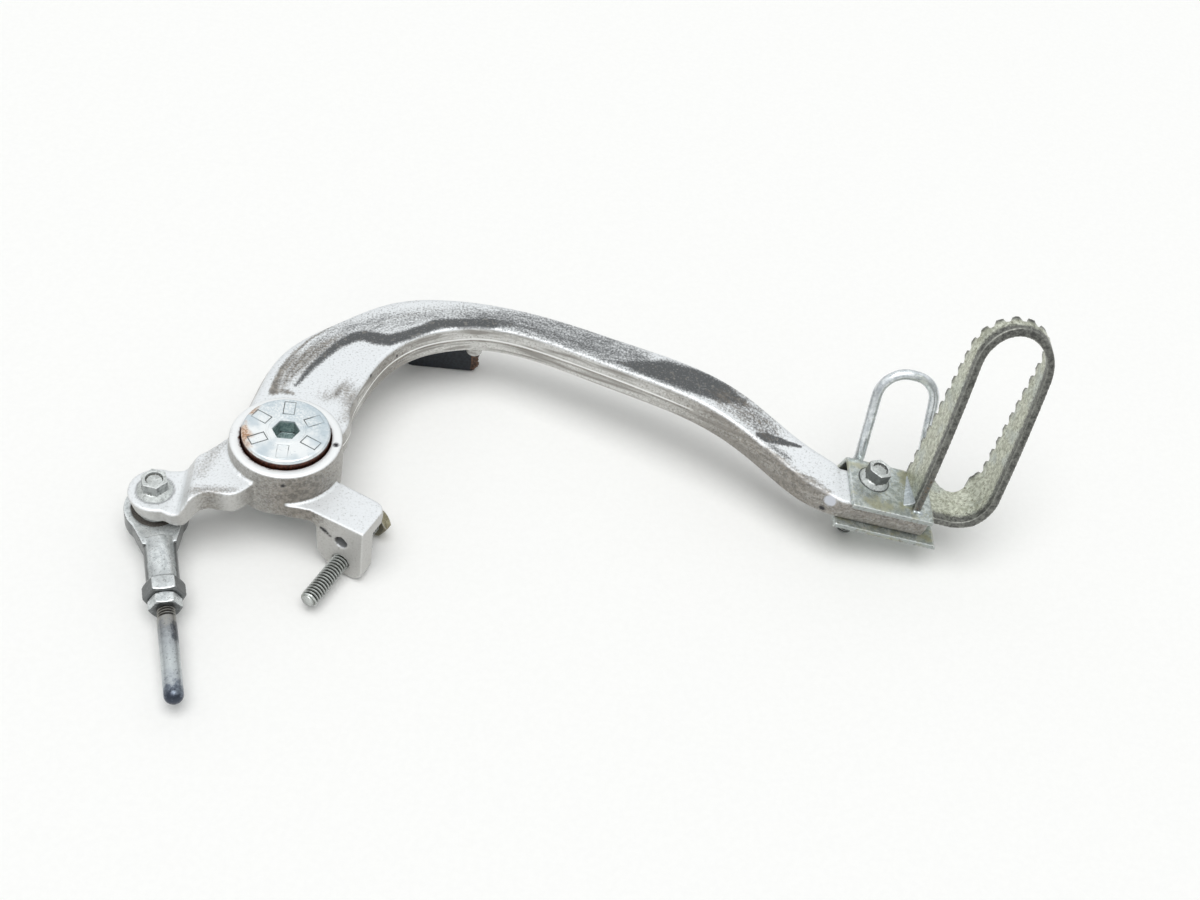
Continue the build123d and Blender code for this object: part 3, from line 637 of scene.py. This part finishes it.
# %% Zinc finishes
def zinc(name, bright, dull, stain, grime_and_shade, rough=0.32, metallic=0.7, patch=1.8, stained=0.3):
    """A mottled plated finish from a bright, a dull, a stain and a colour for dirt and painted shade."""
    material, tree, shader, place = start_finish(name)
    mottle = grain(tree, place, patch, 6.0, 0.7)
    fleck = grain(tree, place, 0.7, 4.0, 0.6)
    cloud = grain(tree, place, patch * 4, 4.0)
    colour = blotchy(tree, mottle, 0.38, 0.62, dull, bright)
    colour = tinted(tree, colour, between(tree, cloud, 0.5, 0.64), stained, stain)
    colour = tinted(tree, colour, between(tree, fleck, 0.55, 0.68), 0.7, stain)
    # Edges: wear and a painted highlight.
    colour = tinted(tree, colour, painted(tree, "edge"), 0.45, shade(240, 243, 243))
    # Sides across the axis: painted shade.
    flats = shaken(tree, painted(tree, "flats"), mottle, 1.6)
    colour = tinted(tree, colour, between(tree, flats, 0.25, 0.95), 0.85, shade(66, 68, 68))
    # Corners: dirt and painted shade.
    corner = ragged(tree, "crevice", fleck, 0.8, 0.15, 0.7)
    colour = mixed(tree, corner, colour, grime_and_shade)
    finish_with(tree, shader, colour, scaled(tree, mottle, rough + 0.12, rough - 0.08), metallic)
    bump(tree, shader, fleck, 0.02)
    return material


fresh_zinc = zinc("fresh_zinc", shade(224, 228, 226), shade(184, 188, 186), shade(132, 134, 130),
                  shade(84, 84, 79), 0.4, 0.45)
grey_zinc = zinc("grey_zinc", shade(226, 230, 230), shade(190, 195, 196), shade(128, 130, 129),
                 shade(48, 48, 48), 0.28, 0.65)
plate_zinc = zinc("plate_zinc", shade(210, 216, 214), shade(162, 169, 166), shade(168, 164, 124),
                  shade(70, 62, 52), 0.32, 0.7, 1.8, 0.6)
wire_zinc = zinc("wire_zinc", shade(240, 244, 245), shade(204, 210, 214), shade(150, 155, 158),
                 shade(60, 60, 60), 0.18, 0.7)
weld_zinc = zinc("weld_zinc", shade(206, 214, 217), shade(166, 175, 179), shade(140, 144, 140),
                 shade(70, 66, 60))
thread_zinc = zinc("thread_zinc", shade(182, 187, 181), shade(140, 145, 139), shade(120, 117, 104),
                   shade(84, 86, 81), 0.28, 0.75)
brass_zinc = zinc("brass_zinc", shade(178, 172, 146), shade(128, 122, 100), shade(96, 84, 62),
                  shade(40, 34, 26))
black_thread = zinc("black_thread", shade(72, 72, 70), shade(46, 46, 46), shade(58, 50, 42),
                    shade(18, 18, 18), 0.4, 0.5)


def refinish(material, *names):
    """Give CAD nodes that stay as they are a new material."""
    for name in names:
        nodes[name].data.materials.clear()
        nodes[name].data.materials.append(material)


refinish(wire_zinc, "guard_wire")
refinish(fresh_zinc, "eye_ball")
print("zinc finishes ready")

# %% [markdown]
# ## Bronze, liner and seals
# These inner parts hardly show, but they still get true materials: sintered bronze with dark pores, a
# woven liner, and black rubber.

# %% Inner finishes
def speckled(name, light, dark_tone, size, rough, metallic):
    """A two-tone grainy finish."""
    material, tree, shader, place = start_finish(name)
    fleck = grain(tree, place, size)
    finish_with(tree, shader, blotchy(tree, fleck, 0.35, 0.65, dark_tone, light), rough, metallic)
    bump(tree, shader, fleck, 0.04)
    return material


bronze = speckled("sintered_bronze", shade(176, 140, 92), shade(120, 90, 56), 0.6, 0.45, 0.8)
refinish(bronze, "upper_bush", "lower_bush")
liner = speckled("woven_liner", shade(96, 92, 86), shade(70, 66, 62), 0.5, 0.7, 0.0)
refinish(liner, "eye_liner")
rubber = speckled("black_rubber", shade(44, 50, 60), shade(30, 34, 42), 1.0, 0.6, 0.0)
refinish(rubber, "upper_seal", "lower_seal")
print("inner finishes ready")

# %% [markdown]
# ## Nuts and the eye's bolt
# Small fasteners have edges worn round by spanners. A finer skin of the same kind does it.

# %% Nuts and bolt heads
FASTENER_VOXEL = 0.2


# Sides facing across a fastener's axis are darkened: painted shade for the dark things they mirror.
def mark_flats(mesh, axis, strength=1.0, low=0.2, high=0.6):
    """Store where the surface faces across an axis, as a mask of painted shade."""
    normals = mesh_points(mesh)[1]
    store(mesh, "flats", strength * (1 - soft_step(np.abs(normals @ np.array(axis)), low, high)))


def fastener(node, name, body, material, axis, side_shade):
    """A small fastener as a worn skin, with painted shade where it faces across the axis."""
    mesh = skinned(merged_copy(node), name, FASTENER_VOXEL, 1)
    mark_shape(mesh, 2, 0.13)
    mark_flats(mesh, axis, side_shade)
    mesh.materials.append(material)
    add_piece(name, mesh, body, "zinc_steel", node)
    print(name, len(mesh.polygons), "faces")


ROD_HEADING = radians(-76.5)
ROD_DROOP = radians(5.4)
ROD_AXIS = Vector((cos(ROD_DROOP) * cos(ROD_HEADING), cos(ROD_DROOP) * sin(ROD_HEADING), -sin(ROD_DROOP)))
STOP_HEADING = radians(-26.6)
STOP_U = Vector((cos(STOP_HEADING), sin(STOP_HEADING), 0))
STOP_V = Vector((-sin(STOP_HEADING), cos(STOP_HEADING), 0))
fastener("rod_bolt", "eye_bolt", "pedal", fresh_zinc, (0, 0, 1), 0.62)
fastener("rod_nut", "eye_nut", "pedal", grey_zinc, (0, 0, 1), 0.6)
fastener("stop_nut", "tab_nut", "pedal", grey_zinc, STOP_V, 0.6)
fastener("lock_nut", "rod_lock_nut", "rod", grey_zinc, (0, 0, 1), 0.9)

# %% [markdown]
# ## Screw threads
# A thread can be faked with rings, but rings don't climb. A zigzag line that is spun once round its
# axis, while it rises by one pitch, joins up with itself as a true helix. Its two ends are cut off
# square with bisect_plane and closed, and the free end is turned down to a point.

# %% Thread helper
THREAD_STEPS = 28
THREAD_DEPTH = 0.58
THREAD_FORM = ((0.0, 1), (0.32, 0), (0.5, 0), (0.82, 1))
POINT_DEPTH = 1.15
POINT_SLOPE = 1.0


def helix(radius, pitch, length):
    """A threaded bar along Z from 0, its free end, to length. Sizes are in millimetres."""
    depth = pitch * THREAD_DEPTH
    bm = bmesh.new()
    line = []
    for count in range(-2, int(length / pitch) + 2):
        for share, low in THREAD_FORM:
            line.append(bm.verts.new((radius - depth * low, 0, (count + share) * pitch)))
    edges = [bm.edges.new(pair) for pair in zip(line[:-1], line[1:])]
    bmesh.ops.spin(bm, geom=line + edges, axis=(0, 0, 1), cent=(0, 0, 0), angle=2 * pi, steps=THREAD_STEPS,
                   dvec=(0, 0, pitch / THREAD_STEPS), use_merge=False)
    bmesh.ops.remove_doubles(bm, verts=bm.verts, dist=0.001)
    for height, side in ((0.0, -1), (length, 1)):
        cut = bmesh.ops.bisect_plane(bm, geom=bm.verts[:] + bm.edges[:] + bm.faces[:], dist=0.0001,
                                     plane_co=(0, 0, height), plane_no=(0, 0, side), clear_outer=True)
        rim = [item for item in cut["geom_cut"] if isinstance(item, bmesh.types.BMEdge)]
        bmesh.ops.contextual_create(bm, geom=rim)
    for vert in bm.verts:
        out = Vector((vert.co.x, vert.co.y)).length
        most = radius - depth * POINT_DEPTH + vert.co.z * POINT_SLOPE
        if out > most:
            vert.co.x *= most / out
            vert.co.y *= most / out
    bmesh.ops.recalc_face_normals(bm, faces=bm.faces)
    bmesh.ops.scale(bm, vec=(MM, MM, MM), verts=bm.verts)
    return bm


def aimed(start, axis):
    """The matrix that stands a bar on start, in millimetres, along axis."""
    turned = Vector(axis).to_track_quat("Z", "Y").to_matrix().to_4x4()
    return Matrix.Translation(Vector(start) * MM) @ turned


def headed(node, name, start, axis, radius, pitch, length):
    """A CAD bolt whose plain shank is cut off, with a true thread in its place."""
    bm = merged_copy(node)
    axis = Vector(axis).normalized()
    seat = (Vector(start) + axis * length) * MM
    cut = bmesh.ops.bisect_plane(bm, geom=bm.verts[:] + bm.edges[:] + bm.faces[:], dist=1e-7,
                                 plane_co=seat, plane_no=-axis, clear_outer=True)
    rim = [item for item in cut["geom_cut"] if isinstance(item, bmesh.types.BMEdge)]
    bmesh.ops.holes_fill(bm, edges=rim, sides=0)
    bmesh.ops.recalc_face_normals(bm, faces=bm.faces)
    head = skinned(bm, name, FASTENER_VOXEL, 1)
    bm = helix(radius, pitch, length)
    bm.transform(aimed(start, axis))
    bm.from_mesh(head)
    bm.faces.ensure_lookup_table()
    for face in bm.faces[-len(head.polygons):]:
        face.material_index = 1
    bpy.data.meshes.remove(head)
    mesh = plain_mesh(bm, name, 50.0)
    mark_shape(mesh, 1, 0.16)
    return mesh


def two_finishes(mesh, thread_finish, head_finish):
    """One finish for a bolt's thread and one for its head."""
    mesh.materials.append(thread_finish)
    mesh.materials.append(head_finish)


COARSE_PITCH = 1.25
FINE_PITCH = 1.0
SMALL_RADIUS = 3.0
STOP_TAB = Vector((28.5, -29.8, -12.0))
STOP_INSET = 8.2
STOP_REACH = 20.0
STOP_LENGTH = 40.0
stop_end = STOP_TAB - STOP_INSET * STOP_U - STOP_REACH * STOP_V
stop_mesh = headed("stop_bolt", "stop_screw", stop_end, STOP_V, SMALL_RADIUS, COARSE_PITCH, STOP_LENGTH)
# The screw's sides get painted shade.
mark_flats(stop_mesh, (0, 0, 1), 0.6)
two_finishes(stop_mesh, thread_zinc, brass_zinc)
add_piece("stop_screw", stop_mesh, "pedal", "zinc_steel", "stop_bolt")

TOE_DIP = radians(11.3)
TOE_X = Vector((cos(TOE_DIP), 0, -sin(TOE_DIP)))
TOE_Y = Vector((0, 1, 0))
TOE_Z = Vector((sin(TOE_DIP), 0, cos(TOE_DIP)))
TOE_PLACE = Vector((205.6, 20.3, 2.0))
TOE_REACH = 27.4
TOE_LENGTH = 15.4
toe_end = TOE_PLACE - TOE_REACH * TOE_Z
toe_mesh = headed("toe_bolt", "toe_screw", toe_end, TOE_Z, SMALL_RADIUS, FINE_PITCH, TOE_LENGTH)
# The bolt's sides get painted shade.
mark_flats(toe_mesh, TOE_Z, 0.9)
two_finishes(toe_mesh, black_thread, fresh_zinc)
add_piece("toe_screw", toe_mesh, "pedal", "zinc_steel", "toe_bolt")
print("threads:", len(stop_mesh.polygons), len(toe_mesh.polygons), "faces")

# %% [markdown]
# ## Push rod
# The rod screws into the eye and ends in a plain round tip that pushes the pump. Its thread is dull
# with old grease, its middle is polished and its tip is dark, so its finish reads a mask that counts
# along the rod. A second mask darkens its right side with painted shade.

# %% Push rod
ROD_START = 40.0
ROD_SPAN = 33.0
ROD_INSIDE = 20.4
ROD_THREAD_RADIUS = 2.95
ROD_THREAD_LENGTH = 21.6

thread_end = BALL_PLACE + ROD_INSIDE * ROD_AXIS
rod_mesh = headed("push_rod", "push_rod_bar", thread_end, ROD_AXIS, ROD_THREAD_RADIUS, FINE_PITCH,
                  ROD_THREAD_LENGTH)
points, normals = mesh_points(rod_mesh)
reach = (points - np.array(BALL_PLACE)) @ np.array(ROD_AXIS)
store(rod_mesh, "reach", (reach - ROD_START) / ROD_SPAN)
# The right side is darker, most just past the thread: painted shade.
upper_stretch = soft_step(reach, 43.0, 45.0) * (1 - soft_step(reach, 51.0, 54.0))
store(rod_mesh, "right", soft_step(normals[:, 0], -0.1, 0.6) * np.maximum(0.45, upper_stretch))
print("push rod reaches", round(float(reach.max()), 1), "mm from the ball")

material, tree, shader, place = start_finish("rod_metal")
mottle = grain(tree, place, 2.2, 6.0, 0.7)
fleck = grain(tree, place, 0.5, 4.0)
run = shaken(tree, painted(tree, "reach"), mottle, 0.5)
colour = ramp(tree, run, (0.0, shade(142, 140, 134)), (0.97, shade(62, 68, 80)),
              (0.12, shade(156, 156, 153)), (0.2, shade(138, 141, 144)), (0.36, shade(168, 173, 176)),
              (0.62, shade(192, 198, 199)), (0.78, shade(176, 182, 186)), (0.87, shade(116, 124, 135)))
patch = shaken(tree, shaken(tree, painted(tree, "right"), mottle, 1.4), fleck, 1.0)
colour = tinted(tree, colour, between(tree, patch, 0.4, 1.1), 0.85, shade(64, 68, 76))
colour = tinted(tree, colour, between(tree, fleck, 0.58, 0.7), 0.6, shade(72, 74, 80))
# Corners: dirt and painted shade.
colour = mixed(tree, painted(tree, "crevice"), colour, shade(44, 42, 40))
finish_with(tree, shader, colour, 0.3, 0.75)
bump(tree, shader, fleck, 0.02)
two_finishes(rod_mesh, material, material)
add_piece("push_rod_bar", rod_mesh, "rod", "rod_steel", "push_rod")

# %% [markdown]
# ## Pivot bolt
# The broad head sits in the boss with a rusty gap round it. It has a hexagon socket, a raised ring
# round that, and six shallow frames. A frame is one grid face that is turned round the axis to its
# place, and then inset, opened and extruded.

# %% Pivot bolt
PIVOT_RADIUS = 5.0
PIVOT_LENGTH = 13.0
HEAD_TOP = 22.2
FRAME_MIDDLE = 10.0
FRAME_LENGTH = 6.0
FRAME_WIDTH = 4.0
FRAME_LINE = 0.44
FRAME_RISE = 0.14
FRAME_SINK = 0.05
FRAME_TURN = 30.0
FRAMES_SHOWN = (0.8, 0.75, 0.8, 1.0, 0.5, 1.0)
RING_RADIUS = 6.2
RING_FOOT = 0.5
RING_CREST = 0.3
RING_RISE = 0.16
SOCKET_RADIUS = 5.0
SOCKET_TOP = 21.7
WALL_RADIUS = 14.0
WALL_TOP = 21.1

pivot_mesh = headed("pivot_bolt", "pivot_screw", (0, 0, -PIVOT_LENGTH), (0, 0, 1), PIVOT_RADIUS,
                    COARSE_PITCH, PIVOT_LENGTH)
bm = bmesh.new()
bm.from_mesh(pivot_mesh)
framed = bm.verts.layers.float.new("framed")
for count, shown in enumerate(FRAMES_SHOWN):
    made = bmesh.ops.create_grid(bm, x_segments=1, y_segments=1, size=0.5 * MM)
    corners = made["verts"]
    bmesh.ops.scale(bm, vec=(FRAME_LENGTH, FRAME_WIDTH, 1), verts=corners)
    bmesh.ops.translate(bm, vec=Vector((FRAME_MIDDLE, 0, HEAD_TOP - FRAME_SINK)) * MM, verts=corners)
    spun = Matrix.Rotation(radians(FRAME_TURN + 360 / len(FRAMES_SHOWN) * count), 3, "Z")
    bmesh.ops.rotate(bm, cent=(0, 0, 0), matrix=spun, verts=corners)
    face = corners[0].link_faces[0]
    rim = bmesh.ops.inset_region(bm, faces=[face], thickness=FRAME_LINE * MM, use_boundary=True)["faces"]
    bmesh.ops.delete(bm, geom=[face], context="FACES_ONLY")
    raised = bmesh.ops.extrude_face_region(bm, geom=rim)["geom"]
    lifted = [item for item in raised if isinstance(item, bmesh.types.BMVert)]
    bmesh.ops.translate(bm, vec=(0, 0, (FRAME_RISE + FRAME_SINK) * MM), verts=lifted)
    for vert in lifted:
        vert[framed] = shown
profile = [(RING_RADIUS - RING_FOOT, HEAD_TOP - FRAME_SINK),
           (RING_RADIUS - RING_CREST, HEAD_TOP + RING_RISE),
           (RING_RADIUS + RING_CREST, HEAD_TOP + RING_RISE),
           (RING_RADIUS + RING_FOOT, HEAD_TOP - FRAME_SINK)]
ring_of(bm, profile, False)
pivot_mesh = plain_mesh(bm, "pivot_screw")
points, normals = mesh_points(pivot_mesh)
radial = np.linalg.norm(points[:, :2], axis=1)
left = soft_step(-points[:, 0], 4.0, 13.0)
wall = soft_step(radial - WALL_RADIUS, 0.0, 0.4) * soft_step(WALL_TOP - points[:, 2], 0.0, 0.5)
store(pivot_mesh, "stain", soft_step(radial, 9.0, 14.0) * left * 0.8)
store(pivot_mesh, "cool", soft_step(points[:, 1] + points[:, 0] * 0.4, -3.0, 8.0))
store(pivot_mesh, "wall", wall * soft_step(points[:, 2], 10.0, 12.0))
in_socket = soft_step(SOCKET_RADIUS - radial, 0.0, 0.3) * soft_step(SOCKET_TOP - points[:, 2], 0.0, 0.5)
store(pivot_mesh, "socket", in_socket)

material, tree, shader, place = start_finish("head_zinc")
mottle = grain(tree, place, 7.0, 2.0)
fleck = grain(tree, place, 0.7, 4.0)
colour = blotchy(tree, mottle, 0.3, 0.6, shade(204, 215, 221), shade(244, 247, 247))
colour = tinted(tree, colour, between(tree, fleck, 0.6, 0.74), 0.5, shade(160, 170, 174))
warm = blotchy(tree, fleck, 0.4, 0.6, shade(178, 140, 112), shade(222, 200, 180))
colour = mixed(tree, ragged(tree, "stain", mottle, 1.8, 0.5, 0.9), colour, warm)
cool = figure(tree, "MULTIPLY", painted(tree, "cool"), between(tree, fleck, 0.3, 0.6))
colour = tinted(tree, colour, cool, 0.6, shade(184, 199, 206))
# The frames' raised rims are painted dark as the shadow lines round them.
outline = ragged(tree, "framed", mottle, 1.8, 0.3, 1.0)
colour = mixed(tree, outline, colour, shade(104, 108, 108))
rusty = blotchy(tree, fleck, 0.4, 0.6, shade(46, 22, 14), shade(92, 48, 30))
colour = mixed(tree, painted(tree, "wall"), colour, rusty)
# The socket is painted darker: its greenish tone together with painted shade inside it.
well = blotchy(tree, fleck, 0.4, 0.6, shade(122, 140, 140), shade(164, 180, 178))
colour = mixed(tree, painted(tree, "socket"), colour, well)
# Corners: dirt and painted shade.
corner = ragged(tree, "crevice", fleck, 0.6, 0.25, 0.8)
colour = mixed(tree, corner, colour, shade(66, 70, 70))
finish_with(tree, shader, colour, 0.34, 0.55)
bump(tree, shader, fleck, 0.02)
two_finishes(pivot_mesh, material, material)
add_piece("pivot_screw", pivot_mesh, "mounting", "zinc_steel", "pivot_bolt")
print("pivot bolt:", len(pivot_mesh.polygons), "faces")

# %% [markdown]
# ## Rod end
# The eye of the push rod is a forged and plated piece, so it gets the same soft skin as the arm,
# with smaller voxels because it is small.

# %% Rod end
EYE_VOXEL = 0.3
eye_mesh = skinned(merged_copy("rod_end"), "rod_eye", EYE_VOXEL, 2)
mark_shape(eye_mesh, 2, 0.13)
# The eye's sides get painted shade.
mark_flats(eye_mesh, (0, 0, 1), 1.2, 0.35, 0.85)
eye_mesh.materials.append(grey_zinc)
add_piece("rod_eye", eye_mesh, "rod", "zinc_steel", "rod_end")
print("rod end:", len(eye_mesh.polygons), "faces")

# %% [markdown]
# ## Bracket
# The bracket is folded from plate and zinc plated. Its cut front edges have turned dark, and a thin
# ring round the bolt's flange is darkened as a painted shadow.

# %% Bracket
TOE_FLANGE_LINE = 5.6
BRACKET_VOXEL = 0.35
bracket_mesh = skinned(merged_copy("toe_bracket"), "bracket_skin", BRACKET_VOXEL, 2)
mark_shape(bracket_mesh)
points, normals = mesh_points(bracket_mesh)
from_toe = points - np.array(TOE_PLACE)
out = np.hypot(from_toe @ np.array(TOE_X), from_toe @ np.array(TOE_Y))
# Cut front edges are dark, and the ring round the bolt's flange is a painted shadow.
cut_edge = 0.55 * soft_step(-normals @ np.array(TOE_Y), 0.4, 0.8)
flange_shadow = 1 - soft_step(np.abs(out - TOE_FLANGE_LINE), 0.1, 0.7)
store(bracket_mesh, "flats", np.maximum(cut_edge, flange_shadow))
bracket_mesh.materials.append(plate_zinc)
add_piece("bracket_skin", bracket_mesh, "pedal", "toe_steel", "toe_bracket")
print("bracket:", len(bracket_mesh.polygons), "faces")

# %% [markdown]
# ## Toothed claw
# The claw is a strip bent to a loop. Its wide faces kept their yellowed zinc, while the sawn edges
# and the teeth are dark and bare. That dark is carried onto the wide faces next to the front edge and
# the teeth as painted shade. Which face a point lies on follows from its normal. The loop leans, so
# how near a point is to the front or the back edge is measured from the foremost and the rearmost
# point at its height.

# %% Claw
def toe_point(x, y, z):
    """A point given on the toe's own axes, in the shared frame, in millimetres."""
    return TOE_PLACE + x * TOE_X + y * TOE_Y + z * TOE_Z


CLAW_VOXEL = 0.36
claw_mesh = skinned(merged_copy("toe_claw"), "claw_skin", CLAW_VOXEL, 1)
mark_shape(claw_mesh)
points, normals = mesh_points(claw_mesh)
facing = normals @ np.array(TOE_Y)
from_toe = points - np.array(TOE_PLACE)
height = from_toe @ np.array(TOE_Z)
sideways = from_toe @ np.array(TOE_X)
inward = from_toe @ np.array(TOE_Y)
# The sawn edges are dark and bare. Spreading that mask, the band along the front edge and the band along
# the toothed back edge carry the dark onto the wide faces as painted shade.
sawn_and_shaded = spread_out(claw_mesh, soft_step(-facing, 0.5, 0.8), 6)
levels = np.arange(height.min() + 1.0, height.max(), 2.0)
fronts = [inward[np.abs(height - level) < 1.2].min() for level in levels]
backs = [inward[np.abs(height - level) < 2.5].max() for level in levels]
from_front = inward - np.interp(height, levels, fronts)
from_back = np.interp(height, levels, backs) - inward
near_leg = 1 - soft_step(sideways, 19.0, 24.0)
store(claw_mesh, "sawn_and_shaded", np.maximum(soft_step(sawn_and_shaded, 0.1, 0.6), 1 - soft_step(from_front, 0.8, 6.5)))
store(claw_mesh, "teeth_bare_and_shaded", 1 - soft_step(from_back, 0.8, 3.0))
store(claw_mesh, "rust", 0.6 * sawn_and_shaded * near_leg * (1 - soft_step(height, 8.0, 30.0)))

material, tree, shader, place = start_finish("claw_zinc")
mottle = grain(tree, place, 1.5, 5.0, 0.75)
fleck = grain(tree, place, 0.8, 4.0, 0.65)
cloud = grain(tree, place, 9.0, 4.0)
colour = blotchy(tree, mottle, 0.38, 0.62, shade(166, 168, 150), shade(218, 221, 206))
colour = tinted(tree, colour, between(tree, cloud, 0.48, 0.66), 0.5, shade(190, 198, 196))
colour = tinted(tree, colour, between(tree, fleck, 0.54, 0.66), 0.75, shade(112, 106, 88))
bare_and_shaded = blotchy(tree, mottle, 0.38, 0.62, shade(76, 76, 73), shade(126, 127, 121))
# Sawn edges and teeth: bare metal, and painted shade next to them.
colour = mixed(tree, ragged(tree, "sawn_and_shaded", fleck, 1.2, 0.25, 0.85), colour, bare_and_shaded)
colour = mixed(tree, painted(tree, "teeth_bare_and_shaded"), colour, bare_and_shaded)
rusty = blotchy(tree, fleck, 0.4, 0.6, shade(66, 54, 42), shade(112, 92, 70))
colour = mixed(tree, ragged(tree, "rust", mottle, 2.0, 0.5, 0.9), colour, rusty)
# Edges: wear and a painted highlight.
colour = tinted(tree, colour, painted(tree, "edge"), 0.4, shade(214, 216, 206))
# Corners: dirt and painted shade.
corner = ragged(tree, "crevice", fleck, 0.8, 0.25, 0.85)
colour = mixed(tree, corner, colour, shade(72, 68, 58))
finish_with(tree, shader, colour, 0.38, 0.55)
bump(tree, shader, mottle, 0.04)
claw_mesh.materials.append(material)
add_piece("claw_skin", claw_mesh, "pedal", "toe_steel", "toe_claw")
print("claw:", len(claw_mesh.polygons), "faces")

# %% [markdown]
# ## Welds
# The claw and the wire are welded on. Against the claw's near leg the weld was ground to a smooth
# fillet, which is a wedge with a soft skin. The other welds are beads: small balls laid along a line
# and joined by the same skin.

# %% Welds
def bead(bm, start, end, radius, count):
    """A row of uneven balls between two points."""
    for index in range(count):
        share = index / max(count - 1, 1)
        centre = Vector(start).lerp(Vector(end), share)
        size = radius * (0.85 + 0.35 * noise.noise(centre * 0.9))
        ball = Matrix.Translation(centre * MM) @ Matrix.Diagonal((size * MM, size * MM, size * MM * 0.9, 1))
        bmesh.ops.create_icosphere(bm, subdivisions=2, radius=1.0, matrix=ball)


def wedge(bm, profile, corner, front, back, shrink):
    """A prism with a profile across the toe, from front to back, that shrinks towards a corner."""
    line = [bm.verts.new(toe_point(x, front, z) * MM) for x, z in profile]
    face = bm.faces.new(line)
    pushed = bmesh.ops.extrude_face_region(bm, geom=[face], use_keep_orig=True)["geom"]
    moved = [item for item in pushed if isinstance(item, bmesh.types.BMVert)]
    bmesh.ops.translate(bm, vec=TOE_Y * (back - front) * MM, verts=moved)
    root = toe_point(corner[0], back, corner[1]) * MM
    bmesh.ops.scale(bm, vec=(shrink, 1, shrink), space=Matrix.Translation(-root), verts=moved)
    bmesh.ops.recalc_face_normals(bm, faces=bm.faces)


FILLET = [(9.2, -0.7), (15.0, -0.7), (15.0, 4.4), (12.6, 1.4)]
FILLET_ROOT = (14.6, -0.7)
FILLET_FRONT = -9.4
FILLET_BACK = 6.0
FILLET_SHRINK = 0.4
WIRE_FEET = (-3.4, 20.2)
WIRE_BEAD_ASIDE = 1.5
WIRE_BEAD_BACK = 10.4
WIRE_BEAD_TOP = -3.5
WIRE_BEAD_END = -9.0
WELD_VOXEL = 0.25

bm = bmesh.new()
wedge(bm, FILLET, FILLET_ROOT, FILLET_FRONT, FILLET_BACK, FILLET_SHRINK)
bead(bm, toe_point(14.4, -11.4, 0.2), toe_point(17.0, -11.2, 0.0), 1.1, 4)
for foot in WIRE_FEET:
    for x in (foot - WIRE_BEAD_ASIDE, foot + WIRE_BEAD_ASIDE):
        top = toe_point(x, WIRE_BEAD_BACK, WIRE_BEAD_TOP)
        bead(bm, top, toe_point(x, WIRE_BEAD_BACK, WIRE_BEAD_END), 0.9, 5)
weld_mesh = skinned(bm, "welds", WELD_VOXEL, 7)
mark_shape(weld_mesh)
weld_mesh.materials.append(weld_zinc)
add_piece("welds", weld_mesh, "pedal", "toe_steel")
print("welds:", len(weld_mesh.polygons), "faces")

# %% [markdown]
# ## Rubber bumper
# The bumper is bonded under the arch, and its end is torn. The skin's points near that end are
# pushed about by noise, and the torn rubber is painted brown.

# %% Rubber bumper
BUMPER_VOXEL = 0.5
TEAR_LENGTH = 4.0
TEAR_DEPTH = 1.4
bumper_mesh = skinned(merged_copy("rubber_bumper"), "bumper_block", BUMPER_VOXEL, 4)
low, high = (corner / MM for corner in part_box("rubber_bumper"))
for vert in bumper_mesh.vertices:
    place_mm = vert.co / MM
    near_end = min(max((place_mm.x - (high.x - TEAR_LENGTH)) / TEAR_LENGTH, 0.0), 1.0)
    torn = noise.noise(place_mm * 0.55) * 1.6 + noise.noise(place_mm * 1.6) * 0.6
    vert.co.x -= near_end * (TEAR_DEPTH + torn) * MM
points, normals = mesh_points(bumper_mesh)
store(bumper_mesh, "torn", soft_step(points[:, 0], high.x - 4.5, high.x - 2.5))
material, tree, shader, place = start_finish("torn_rubber")
fleck = grain(tree, place, 1.0)
colour = blotchy(tree, fleck, 0.35, 0.65, shade(20, 24, 30), shade(34, 40, 48))
brown = blotchy(tree, fleck, 0.4, 0.6, shade(52, 34, 26), shade(104, 76, 58))
colour = mixed(tree, ragged(tree, "torn", fleck, 1.0, 0.4, 0.6), colour, brown)
finish_with(tree, shader, colour, 0.62, 0.0)
bump(tree, shader, fleck, 0.08)
bumper_mesh.materials.append(material)
add_piece("bumper_block", bumper_mesh, "pedal", "black_rubber", "rubber_bumper")
print("bumper:", len(bumper_mesh.polygons), "faces")
